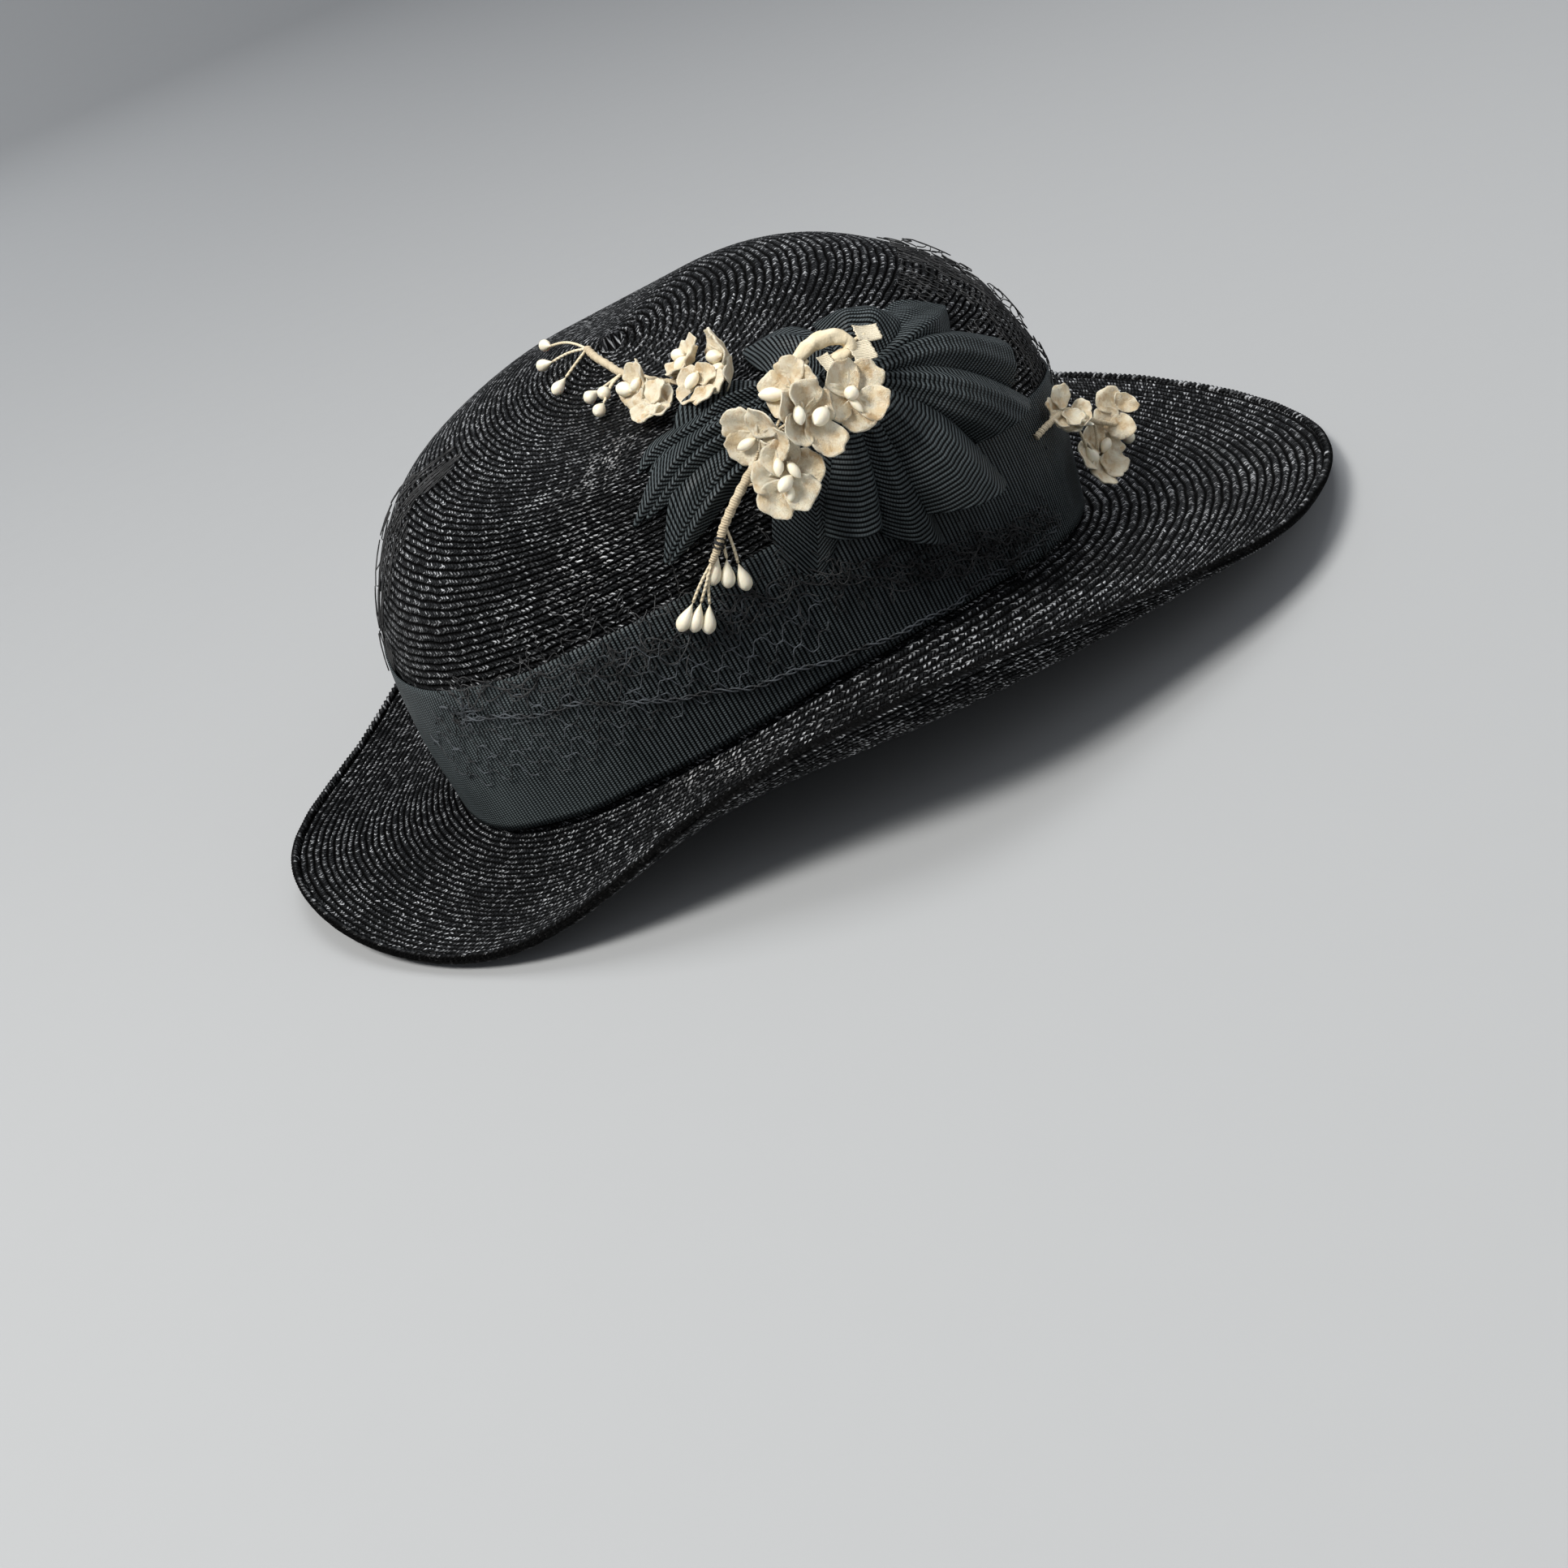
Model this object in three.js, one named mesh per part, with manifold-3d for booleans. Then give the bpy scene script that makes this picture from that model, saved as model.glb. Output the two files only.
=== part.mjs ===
import * as THREE from "three";
import Module from "manifold-3d";
import { mergeVertices } from "three/addons/utils/BufferGeometryUtils.js";

// A tilt hat of sewn straw braid with a grosgrain band, a fan bow, three flower sprays and veil remnants.
// Millimetres, +Z up. The front of the hat is toward -Y and the wearer's left, the trimmed side, toward +X.
// The hat rests on its brim, so z = 0 is the lowest line of the brim.

const wasm = await Module();
wasm.setup();

// ---- Driving dimensions ---------------------------------------------------------------------------------
const STRAW = 1.6; // wall of the sewn braid, two overlapping rows
const RIBBON = 1.0; // grosgrain ribbon
const PETAL = 1.0; // velvet petal
const GAP = 0.3; // clearance between touching pieces
const TURN_STEPS = 48; // facets round the head
const ROUNDNESS = 2.15; // exponent of the head oval, 2 is an ellipse
const TIP_CORE = 2; // half length of the straight centre that the first row of braid runs round
const TIP_START = 0.05; // level of the first modelled ring of the tip
const BAND_TOP = 0.72; // level of the ribbon band's upper edge
const BAND_FOOT = 0.96; // level of its lower edge
const BRIM_STEPS = 8; // facets across the brim
const EDGE_WIRE = 1.8; // covered wire along the brim's edge
const EDGE_SPAN = 0.975; // where the wire lies across the brim
const EDGE_GAP = 0.5; // clearance under the wire, where the brim curls up below it
const EDGE_SIDES = 5; // facets round the wire
const STEM_SIDES = 6; // facets round a stem
const WIRE = 0.9; // thread-covered wire of a bud or flower
const BUD = { length: 6.4, width: 3.8, sides: 7 };
const STAMEN = { length: 4.4, width: 3, sides: 7 };
const KNOT = { radius: 7, low: 0.9, high: 8 }; // gathered centre of the bow
const REST_PITCH = 2.52; // degrees the hat leans forward, onto two lobes of the front and the back edge

// Rows of the crown from the tip to the foot, evenly spaced along the braid. Distances outward from the tip
// centre and heights above the foot, toward the front, toward the back and toward either side.
const CROWN_LEVELS = [
  { front: 0, frontUp: 105, back: 0, backUp: 105, side: 0, sideUp: 105 },
  { front: 22, frontUp: 99, back: 32, backUp: 110, side: 31, sideUp: 101 },
  { front: 46, frontUp: 95, back: 65, backUp: 102, side: 54, sideUp: 97 },
  { front: 71, frontUp: 86, back: 91, backUp: 81, side: 67, sideUp: 88 },
  { front: 90, frontUp: 61, back: 102, backUp: 55, side: 74, sideUp: 71 },
  { front: 97, frontUp: 31, back: 102, backUp: 28, side: 77, sideUp: 46 },
  { front: 98, frontUp: 0, back: 98, backUp: 0, side: 78, sideUp: 18 },
];
const TIP_OFFSET = { left: 12, back: -9 }; // the centre of the braid lies toward the trimmed side and front
const TIP_LEAN = 2; // fall of the tip toward the trimmed side over half the crown's width

// Brim from the back round either side to the front, in equal steps of angle. Width out from the crown,
// height of the edge above the crown's foot, sag of the middle, and how far out the middle is carried.
const BRIM_STATIONS = [
  { width: 78, rise: -14.5, sag: 5, carry: 0.45 },
  { width: 65, rise: 0.6, sag: 5, carry: 0.65 },
  { width: 51, rise: 21, sag: 7.5, carry: 1.05 },
  { width: 52, rise: 34, sag: 5.5, carry: 0.95 },
  { width: 43, rise: 26, sag: 4, carry: 0.7 },
  { width: 48, rise: 2, sag: 11, carry: 0.45 },
  { width: 53, rise: 8, sag: 1, carry: 0.5 },
];

// The bow fans out from its knot. Each row names the spot of a piece's tip on the crown, as a level and an
// angle in degrees from the trimmed side toward the back, the part of the way from the knot at which the
// piece starts, its width at the root and the tip, its lift off the crown, and its height.
const BOW_KNOT = { level: 0.5, angle: 27 };
const BOW_FOLDS = [
  { name: "bow_fold_1", level: 0.233, angle: 31, start: 0.3, root: 7, tip: 17, low: 0.5, high: 4 },
  { name: "bow_fold_2", level: 0.316, angle: -7, start: 0.3, root: 3.6, tip: 10, low: 0.5, high: 4 },
  { name: "bow_fold_3", level: 0.437, angle: -20, start: 0.3, root: 3, tip: 10, low: 0.5, high: 5 },
  { name: "bow_fold_4", level: 0.558, angle: -25, start: 0.3, root: 2.6, tip: 8.6, low: 0.5, high: 5 },
  { name: "bow_fold_5", level: 0.655, angle: -21, start: 0.3, root: 2.6, tip: 9, low: 0.5, high: 4 },
  { name: "bow_right_1", level: 0.62, angle: 57, start: 0.3, root: 3.6, tip: 12, low: 0.5, high: 8 },
  { name: "bow_right_2", level: 0.749, angle: 52, start: 0.3, root: 3.6, tip: 13, low: 1.8, high: 8 },
  { name: "bow_tail_1", level: 0.87, angle: 23, start: 0.3, root: 3, tip: 7, low: 1.8, high: 4 },
  { name: "bow_tail_3", level: 0.77, angle: -3, start: 0.3, root: 3.4, tip: 13, low: 1.8, high: 2 },
];
const BOW_LOOPS = [
  { name: "bow_top_1", level: 0.372, angle: 49, start: 0.35, root: 4, tip: 13, low: 0.6, high: 9, puff: 1 },
  { name: "bow_top_2", level: 0.487, angle: 61, start: 0.28, root: 4, tip: 15, low: 0.6, high: 9, puff: 1 },
  { name: "bow_right_3", level: 0.81, angle: 33, start: 0.3, root: 4, tip: 19, low: 2.3, high: 12, puff: 1 },
  { name: "bow_tail_2", level: 0.77, angle: 11, start: 0.3, root: 4, tip: 13, low: 2.3, high: 9, puff: 1 },
];

// The sprays. Each row is a spot on the crown with its height off it. A bud or flower names the row of the
// stem that its wire leaves. A flower faces out of the crown, turned about the upright by its own angle.
const SPRAYS = [
  {
    name: "spray_top",
    thick: 1.8,
    stem: [
      { level: 0.09, angle: -110, lift: 1.6 },
      { level: 0.045, angle: -60, lift: 1.6 },
      { level: 0.121, angle: -13, lift: 1.6 },
      { level: 0.2, angle: -9, lift: 1.6 },
      { level: 0.26, angle: 14, lift: 1.6 },
    ],
    buds: [
      { level: 0.151, angle: -156, lift: 2.4, leaves: 0 },
      { level: 0.125, angle: -128, lift: 2.4, leaves: 0 },
      { level: 0.132, angle: -86, lift: 2.4, leaves: 0 },
      { level: 0.15, angle: -42, lift: 2.4, leaves: 2 },
      { level: 0.16, angle: -29, lift: 6.4, leaves: 2 },
    ],
    flowers: [
      { level: 0.205, angle: -12, lift: 3.2, radius: 7.5, depth: 3, turn: 0, leaves: 3 },
      { level: 0.225, angle: 13, lift: 7.4, radius: 5.5, depth: 2.5, turn: 0, leaves: 4 },
      { level: 0.29, angle: 15, lift: 3.4, radius: 5.5, depth: 2.5, turn: 0, leaves: 4 },
    ],
  },
  {
    name: "spray_mid",
    thick: 2.8,
    stem: [
      { level: 0.47, angle: 24, lift: 9.9 },
      { level: 0.53, angle: 10, lift: 9.9 },
      { level: 0.585, angle: -4, lift: 8.6 },
      { level: 0.65, angle: -12, lift: 7 },
      { level: 0.685, angle: -16, lift: 6 },
    ],
    buds: [
      { level: 0.702, angle: -14.6, lift: 4.2, leaves: 3 },
      { level: 0.717, angle: -12.4, lift: 4.2, leaves: 3 },
      { level: 0.732, angle: -9.6, lift: 4.2, leaves: 3 },
      { level: 0.746, angle: -23.4, lift: 4.2, leaves: 4 },
      { level: 0.762, angle: -20.6, lift: 4.2, leaves: 4 },
      { level: 0.77, angle: -17.6, lift: 4.2, leaves: 4 },
    ],
    flowers: [
      { level: 0.534, angle: 24, lift: 12, radius: 8.8, depth: 2.6, turn: 0, leaves: 0, stamen: true },
      { level: 0.514, angle: 12.6, lift: 16.2, radius: 8, depth: 2.6, turn: 0, leaves: 1, stamen: true },
      { level: 0.448, angle: 15, lift: 12, radius: 6.6, depth: 2.4, turn: 0, leaves: 0, stamen: true },
      { level: 0.511, angle: 0.4, lift: 16.2, radius: 6.8, depth: 2.4, turn: 0, leaves: 1 },
      { level: 0.602, angle: 2.2, lift: 12, radius: 9.6, depth: 2.8, turn: 0, leaves: 2, stamen: true },
    ],
  },
  {
    name: "spray_back",
    thick: 1.8,
    stem: [
      { level: 0.826, angle: 64, lift: 2.5 },
      { level: 0.814, angle: 69, lift: 5 },
      { level: 0.85, angle: 71, lift: 9 },
      { level: 0.86, angle: 73, lift: 15 },
    ],
    buds: [
      { level: 0.885, angle: 64, lift: 7, leaves: 1 },
    ],
    flowers: [
      { level: 0.755, angle: 77, lift: 6.6, radius: 5.2, depth: 2.5, turn: 0, leaves: 1 },
      { level: 0.875, angle: 68, lift: 11, radius: 6.5, depth: 2.5, turn: -50, leaves: 2 },
      { level: 0.85, angle: 76, lift: 21, radius: 7, depth: 2.5, turn: -50, leaves: 3 },
    ],
  },
];

// The taped stems of the middle spray bend back over the flowers in a loop.
const TAPE_LOOP_THICK = 3.2;
const TAPE_LOOP = [
  { level: 0.43, angle: 19, lift: 17.8 },
  { level: 0.41, angle: 25, lift: 18.4 },
  { level: 0.42, angle: 31, lift: 16 },
  { level: 0.46, angle: 33, lift: 12 },
];

// What is left of the veil, as thin patches of net: their upper and lower edges over the crown, the lift
// of the net off the crown's face, and its bulk.
const VEILS = [
  {
    name: "veil_front",
    upper: [{ level: 0.3, angle: -104 }, { level: 0.5, angle: -100 }, { level: 0.7, angle: -100 }],
    lower: [{ level: 0.3, angle: -84 }, { level: 0.5, angle: -78 }, { level: 0.7, angle: -76 }],
    lift: 0.8,
    thick: 0.8,
  },
  {
    name: "veil_side",
    upper: [{ level: 0.735, angle: -64 }, { level: 0.77, angle: -30 }, { level: 0.835, angle: -1 },
      { level: 0.895, angle: 26 }, { level: 0.92, angle: 50 }],
    lower: [{ level: 0.775, angle: -64 }, { level: 0.82, angle: -30 }, { level: 0.88, angle: -1 },
      { level: 0.935, angle: 26 }, { level: 0.955, angle: 50 }],
    lift: 1.8,
    thick: 0.8,
  },
  {
    name: "veil_back",
    upper: [{ level: 0.45, angle: 76 }, { level: 0.6, angle: 78 }, { level: 0.75, angle: 80 }],
    lower: [{ level: 0.45, angle: 96 }, { level: 0.6, angle: 98 }, { level: 0.75, angle: 100 }],
    lift: 2,
    thick: 0.8,
  },
];

// ---- Curves ---------------------------------------------------------------------------------------------
const NEAR = 0.004; // how far to either side a slope is measured, in levels or radians

/** Smooth curve through evenly spaced values, x from 0 to 1. A mirrored curve is level at both ends. */
function through(values, x, mirrored) {
  const last = values.length - 1;
  const place = THREE.MathUtils.clamp(x, 0, 1) * last;
  const i = Math.min(Math.floor(place), last - 1);
  const f = place - i;
  const [b, c] = [values[i], values[i + 1]];
  const before = mirrored ? values[1] : 2 * b - c;
  const after = mirrored ? values[last - 1] : 2 * c - b;
  const a = i > 0 ? values[i - 1] : before;
  const d = i + 2 <= last ? values[i + 2] : after;
  return b + 0.5 * f * (c - a + f * (2 * a - 5 * b + 4 * c - d + f * (3 * (b - c) + d - a)));
}

const column = (rows, name) => rows.map((row) => row[name]);
const crownColumns = Object.fromEntries(Object.keys(CROWN_LEVELS[0]).map((k) => [k, column(CROWN_LEVELS, k)]));
const brimColumns = Object.fromEntries(Object.keys(BRIM_STATIONS[0]).map((k) => [k, column(BRIM_STATIONS, k)]));

/** Outer face of the crown. Level 0 is the tip, 1 the foot; angle 0 is the trimmed side, a quarter turn the back. */
function crownFace(level, angle) {
  const at = (name) => through(crownColumns[name], level, false);
  const [c, s] = [Math.cos(angle), Math.sin(angle)];
  const toBack = s > 0;
  const length = at(toBack ? "back" : "front") + TIP_CORE;
  const width = at("side") + 0.01;
  const radius = (Math.abs(c / width) ** ROUNDNESS + Math.abs(s / length) ** ROUNDNESS) ** (-1 / ROUNDNESS);
  const [x, y] = [radius * c, radius * s];
  const lengthwise = (y / length) ** 2;
  const upLong = at(toBack ? "backUp" : "frontUp");
  const fade = 1 - level * level;
  const up = upLong * lengthwise + at("sideUp") * (1 - lengthwise) - (TIP_LEAN * fade * x) / width;
  return new THREE.Vector3(x + TIP_OFFSET.left * fade, y + TIP_OFFSET.back * fade, up);
}

/** The crown's outer face moved out along its normal. */
function crownPoint(level, angle, lift) {
  const low = Math.max(level - NEAR, TIP_START / 2);
  const high = Math.min(level + NEAR, 1);
  const down = crownFace(high, angle).sub(crownFace(low, angle));
  const round = crownFace(level, angle + NEAR).sub(crownFace(level, angle - NEAR));
  const out = round.cross(down).normalize().multiplyScalar(-lift);
  return crownFace(level, angle).add(out);
}

/** Middle of the brim's wall. Span 0 is the foot of the crown and 1 the edge. */
function brimMiddle(span, angle) {
  const at = (name) => through(brimColumns[name], Math.acos(Math.sin(angle)) / Math.PI, true);
  const foot = crownFace(1, angle);
  const round = crownFace(1, angle + NEAR).sub(crownFace(1, angle - NEAR));
  const out = new THREE.Vector3(round.y, -round.x, 0).normalize();
  const [start, middle, end] = [(1 - span) ** 2, 2 * span * (1 - span), span ** 2];
  const reach = GAP + middle * at("carry") * at("width") + end * at("width");
  const height = start * foot.z + middle * (foot.z - at("sag")) + end * at("rise");
  return new THREE.Vector3(foot.x, foot.y, height).addScaledVector(out, reach);
}

/** The brim's middle moved up along its normal. */
function brimPoint(span, angle, lift) {
  const along = brimMiddle(Math.min(span + NEAR, 1), angle).sub(brimMiddle(Math.max(span - NEAR, 0), angle));
  const round = brimMiddle(span, angle + NEAR).sub(brimMiddle(span, angle - NEAR));
  const up = along.cross(round).normalize().multiplyScalar(lift);
  return brimMiddle(span, angle).add(up);
}

// ---- Solids ---------------------------------------------------------------------------------------------
/** Signed volume of a triangle list, positive when its faces point out. */
function signedVolume(points, faces) {
  const volume = ([a, b, c]) => points[a].dot(points[b].clone().cross(points[c])) / 6;
  return faces.reduce((sum, face) => sum + volume(face), 0);
}

/** Geometry of a closed body from its points and triangles, with its faces turned out. */
function bodyGeometry(points, faces) {
  const outward = signedVolume(points, faces) > 0 ? faces : faces.map(([a, b, c]) => [a, c, b]);
  const geometry = new THREE.BufferGeometry();
  geometry.setAttribute("position", new THREE.Float32BufferAttribute(points.flatMap((p) => p.toArray()), 3));
  geometry.setIndex(outward.flat());
  geometry.computeVertexNormals();
  return geometry;
}

/** Body through rings of equally many points. It closes on itself, or on a middle point at either end. */
function loft(rings, ends) {
  const count = rings[0].length;
  const points = rings.flat();
  const faces = [];
  const spans = ends === "loop" ? rings.length : rings.length - 1;
  for (let i = 0; i < spans; i += 1) {
    const next = (i + 1) % rings.length;
    for (let j = 0; j < count; j += 1) {
      const [a, b] = [i * count + j, i * count + ((j + 1) % count)];
      const [d, c] = [next * count + j, next * count + ((j + 1) % count)];
      const shorter = points[a].distanceTo(points[c]) < points[b].distanceTo(points[d]);
      faces.push(...(shorter ? [[a, b, c], [a, c, d]] : [[a, b, d], [b, c, d]]));
    }
  }
  if (ends !== "loop") {
    for (const [ring, middle, turn] of [[0, ends.start, 1], [rings.length - 1, ends.end, 0]]) {
      const centre = points.push(middle) - 1;
      for (let j = 0; j < count; j += 1) {
        const pair = [ring * count + j, ring * count + ((j + 1) % count)];
        faces.push([centre, pair[turn], pair[1 - turn]]);
      }
    }
  }
  return bodyGeometry(points, faces);
}

/** Middle of a ring of points. */
const middleOf = (ring) => ring.reduce((sum, p) => sum.add(p), new THREE.Vector3()).divideScalar(ring.length);

/** Loft whose ends are closed flat. */
const closedLoft = (rings) => loft(rings, { start: middleOf(rings[0]), end: middleOf(rings.at(-1)) });

/** Evenly spaced numbers, both ends included. */
const spread = (from, to, steps) => Array.from({ length: steps + 1 }, (_, i) => from + ((to - from) * i) / steps);

/** Evenly spaced angles of one whole turn. */
const turn = (sides) => spread(0, 2 * Math.PI, sides).slice(0, -1);

const turnAngles = turn(TURN_STEPS);
// Levels of the modelled rings; the band's edges fall on rings, so its facets lie along the crown's.
const crownLevels = [
  ...spread(TIP_START, BAND_TOP, 9),
  ...spread(BAND_TOP, BAND_FOOT, 3).slice(1),
  1,
];
const bandLevels = crownLevels.filter((level) => level >= BAND_TOP - 1e-9 && level <= BAND_FOOT + 1e-9);

/** Whole ring of the crown at one level and lift. */
const crownRing = (level, lift) => turnAngles.map((angle) => crownPoint(level, angle, lift));

function crownBody() {
  const outer = crownLevels.map((level) => crownRing(level, 0));
  const inner = crownLevels.map((level) => crownRing(level, -STRAW)).reverse();
  const tip = middleOf(outer[0]);
  const under = middleOf(inner.at(-1));
  return loft([...outer, ...inner], { start: tip, end: under });
}

function brimBody() {
  const spans = spread(0, 1, BRIM_STEPS);
  const section = (angle) => [
    ...spans.map((span) => brimPoint(span, angle, STRAW / 2)),
    ...[...spans].reverse().map((span) => brimPoint(span, angle, -STRAW / 2)),
  ];
  return loft(turnAngles.map(section), "loop");
}

function bandBody() {
  const section = (angle) => [
    ...bandLevels.map((level) => crownPoint(level, angle, GAP + RIBBON)),
    ...[...bandLevels].reverse().map((level) => crownPoint(level, angle, GAP)),
  ];
  return loft(turnAngles.map(section), "loop");
}

/** The covered wire lies on the brim's upper face, just inside the edge. */
function edgeWireBody() {
  const section = (angle) => {
    const centre = brimPoint(EDGE_SPAN, angle, STRAW / 2 + EDGE_GAP + EDGE_WIRE / 2);
    const up = brimPoint(EDGE_SPAN, angle, STRAW).sub(brimPoint(EDGE_SPAN, angle, 0)).normalize();
    const inward = brimPoint(EDGE_SPAN - 0.02, angle, 0).sub(brimPoint(EDGE_SPAN, angle, 0)).normalize();
    return turn(EDGE_SIDES).map((around) => centre.clone()
      .addScaledVector(up, (EDGE_WIRE / 2) * Math.cos(around))
      .addScaledVector(inward, (EDGE_WIRE / 2) * Math.sin(around)));
  };
  return loft(turnAngles.map(section), "loop");
}

// ---- Trimmings ------------------------------------------------------------------------------------------
/** Point over a spot of the crown, or its direction out when two lifts are taken apart. */
const overCrown = (spot, lift) => crownPoint(spot.level, THREE.MathUtils.degToRad(spot.angle), lift);

/** Spot part of the way from one spot to another. */
const between = (from, to, part) => ({
  level: THREE.MathUtils.lerp(from.level, to.level, part),
  angle: THREE.MathUtils.lerp(from.angle, to.angle, part),
});

/** Directions at a spot on a way over the crown: out from the crown, and across the way. */
function frameOn(from, to, part) {
  const here = overCrown(between(from, to, part), 0);
  const out = overCrown(between(from, to, part), 1).sub(here).normalize();
  const along = overCrown(between(from, to, part + 0.01), 0).sub(overCrown(between(from, to, part - 0.01), 0));
  along.addScaledVector(out, -along.dot(out)).normalize();
  return { here, out, across: out.clone().cross(along) };
}

/** Strip with a place for each step along, each place across and either face. */
function stripBody(steps, places, place) {
  const rings = spread(0, 1, steps).map((u) => [
    ...places.map((v) => place(u, v, -1)),
    ...[...places].reverse().map((v) => place(u, v, 1)),
  ]);
  return closedLoft(rings);
}

/** Pleated fold of ribbon pressed on the crown, arched across, running from near the knot to its tip. */
function foldBody(row) {
  const root = between(BOW_KNOT, row, row.start);
  const place = (u, v, face) => {
    const { here, out, across } = frameOn(root, row, u);
    const half = THREE.MathUtils.lerp(row.root, row.tip, u) / 2;
    const arch = (row.high - RIBBON) * (1 - v * v) * (1 - 0.5 * u);
    const lift = row.low + arch + (face + 1) * (RIBBON / 2);
    return here.addScaledVector(out, lift).addScaledVector(across, half * v);
  };
  return stripBody(7, [-1, -0.5, 0, 0.5, 1], place);
}

/** Open loop of ribbon: out over the crown, round at its end and back above itself to the knot. */
function loopBody(row) {
  const root = between(BOW_KNOT, row, row.start);
  const length = overCrown(root, 0).distanceTo(overCrown(row, 0));
  const bend = (row.high - row.low - row.puff - RIBBON) / 2;
  const leg = 0.42; // share of the ribbon in the lower and in the upper run
  const route = (u) => {
    const bow = THREE.MathUtils.clamp((u - leg) / (1 - 2 * leg), 0, 1) * Math.PI;
    const run = Math.min(u, leg, 1 - u) / leg;
    const puff = u > 0.5 ? row.puff * Math.sin(Math.PI * run) : 0;
    const middle = row.low + RIBBON / 2 + bend * (1 - Math.cos(bow)) + puff;
    return new THREE.Vector2(run * (length - bend) + bend * Math.sin(bow), middle);
  };
  const place = (u, v, face) => {
    const slope = route(Math.min(u + 0.01, 1)).sub(route(Math.max(u - 0.01, 0))).normalize();
    const spot = route(u).addScaledVector(new THREE.Vector2(slope.y, -slope.x), (face * RIBBON) / 2);
    const part = spot.x / length;
    const { here, out, across } = frameOn(root, row, part);
    const half = THREE.MathUtils.lerp(row.root, row.tip, THREE.MathUtils.clamp(part, 0, 1)) / 2;
    return here.addScaledVector(out, spot.y).addScaledVector(across, half * v);
  };
  return stripBody(14, [-1, 0, 1], place);
}

/** Body of a three.js solid once its shared corners are one and its pinched triangles are gone. */
function sealed(geometry) {
  geometry.deleteAttribute("normal");
  geometry.deleteAttribute("uv");
  const merged = mergeVertices(geometry);
  const position = merged.getAttribute("position");
  const points = spread(0, position.count - 1, position.count - 1)
    .map((i) => new THREE.Vector3().fromBufferAttribute(position, Math.round(i)));
  const index = merged.getIndex().array;
  const faces = [];
  for (let i = 0; i < index.length; i += 3) {
    const face = [index[i], index[i + 1], index[i + 2]];
    if (new Set(face).size === 3) {
      faces.push(face);
    }
  }
  return bodyGeometry(points, faces);
}

/** Round tube along a path. */
function tubeBody(path, thick, steps) {
  const corners = turn(STEM_SIDES).map((around) => new THREE.Vector2(Math.cos(around), Math.sin(around)));
  const section = new THREE.Shape(corners.map((corner) => corner.multiplyScalar(thick / 2)));
  return sealed(new THREE.ExtrudeGeometry(section, { extrudePath: path, steps }));
}

/** One body out of several that meet. */
function joined(bodies) {
  const solids = bodies.map((body) => new wasm.Manifold(new wasm.Mesh({
    numProp: 3,
    vertProperties: body.getAttribute("position").array,
    triVerts: Uint32Array.from(body.getIndex().array),
  })));
  const mesh = solids.reduce((sum, solid) => sum.add(solid)).getMesh();
  const whole = new THREE.BufferGeometry();
  whole.setAttribute("position", new THREE.BufferAttribute(mesh.vertProperties, 3));
  whole.setIndex(new THREE.BufferAttribute(mesh.triVerts, 1));
  whole.computeVertexNormals();
  return whole;
}

/** Flower head standing along +Y: five round petals as one lobed dish. */
function dishBody({ radius, depth }) {
  const lobes = 5;
  const face = (part, lift) => turn(3 * lobes).map((around) => {
    const lobe = 1 - 0.16 * part * (0.5 - 0.5 * Math.cos(lobes * around));
    const reach = radius * part * lobe;
    return new THREE.Vector3(reach * Math.cos(around), depth * part * part + lift, reach * Math.sin(around));
  });
  const rings = [face(0.5, PETAL), face(1, PETAL), face(1, 0), face(0.5, 0)];
  return loft(rings, { start: new THREE.Vector3(0, PETAL, 0), end: new THREE.Vector3() });
}

/** Teardrop standing along +Y from its wire. */
function dropBody({ length, width, sides }) {
  const outline = [[0, 0], [0.3, 0.1], [0.75, 0.45], [1, 0.72], [0.7, 0.94], [0, 1]];
  const profile = outline.map(([wide, along]) => new THREE.Vector2((wide * width) / 2, along * length));
  return sealed(new THREE.LatheGeometry(profile, sides));
}

/** Low dome standing along +Y, gathered ribbon at the middle of the bow. */
function knotBody() {
  const { radius, low, high } = KNOT;
  const outline = [[0, low], [0.85, low], [1, (low + high) / 2], [0.7, high - 1], [0, high]];
  return sealed(new THREE.LatheGeometry(outline.map(([wide, up]) => new THREE.Vector2(wide * radius, up)), 12));
}

/** Thin patch of net over the crown between two rows of spots, its own lift above the outer face. */
function veilBody({ upper, lower, lift, thick }) {
  const last = upper.length - 1;
  const along = (rows, u) => {
    const i = Math.min(Math.floor(u * last), last - 1);
    return between(rows[i], rows[i + 1], u * last - i);
  };
  const place = (u, v, face) => {
    const spot = between(along(upper, u), along(lower, u), (v + 1) / 2);
    return overCrown(spot, lift + ((face + 1) * thick) / 2);
  };
  return stripBody(4 * last, [-1, -0.5, 0, 0.5, 1], place);
}

const OWN_AXIS = new THREE.Vector3(0, 1, 0); // the axis that a solid of revolution stands along
const UPRIGHT = new THREE.Vector3(0, 0, 1);

/** Direction that a flower faces: out of the crown, turned about the upright. */
function facing(spot) {
  const out = overCrown(spot, 1).sub(overCrown(spot, 0)).normalize();
  return out.applyAxisAngle(UPRIGHT, THREE.MathUtils.degToRad(spot.turn ?? 0));
}

/** Mesh with its +Y turned to a direction at a place. */
function standing(name, geometry, material, place, direction) {
  const mesh = named(name, geometry, material);
  mesh.position.copy(place);
  mesh.quaternion.setFromUnitVectors(OWN_AXIS, direction);
  return mesh;
}

function named(name, geometry, material) {
  const mesh = new THREE.Mesh(geometry, material.clone());
  mesh.name = name;
  return mesh;
}

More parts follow.
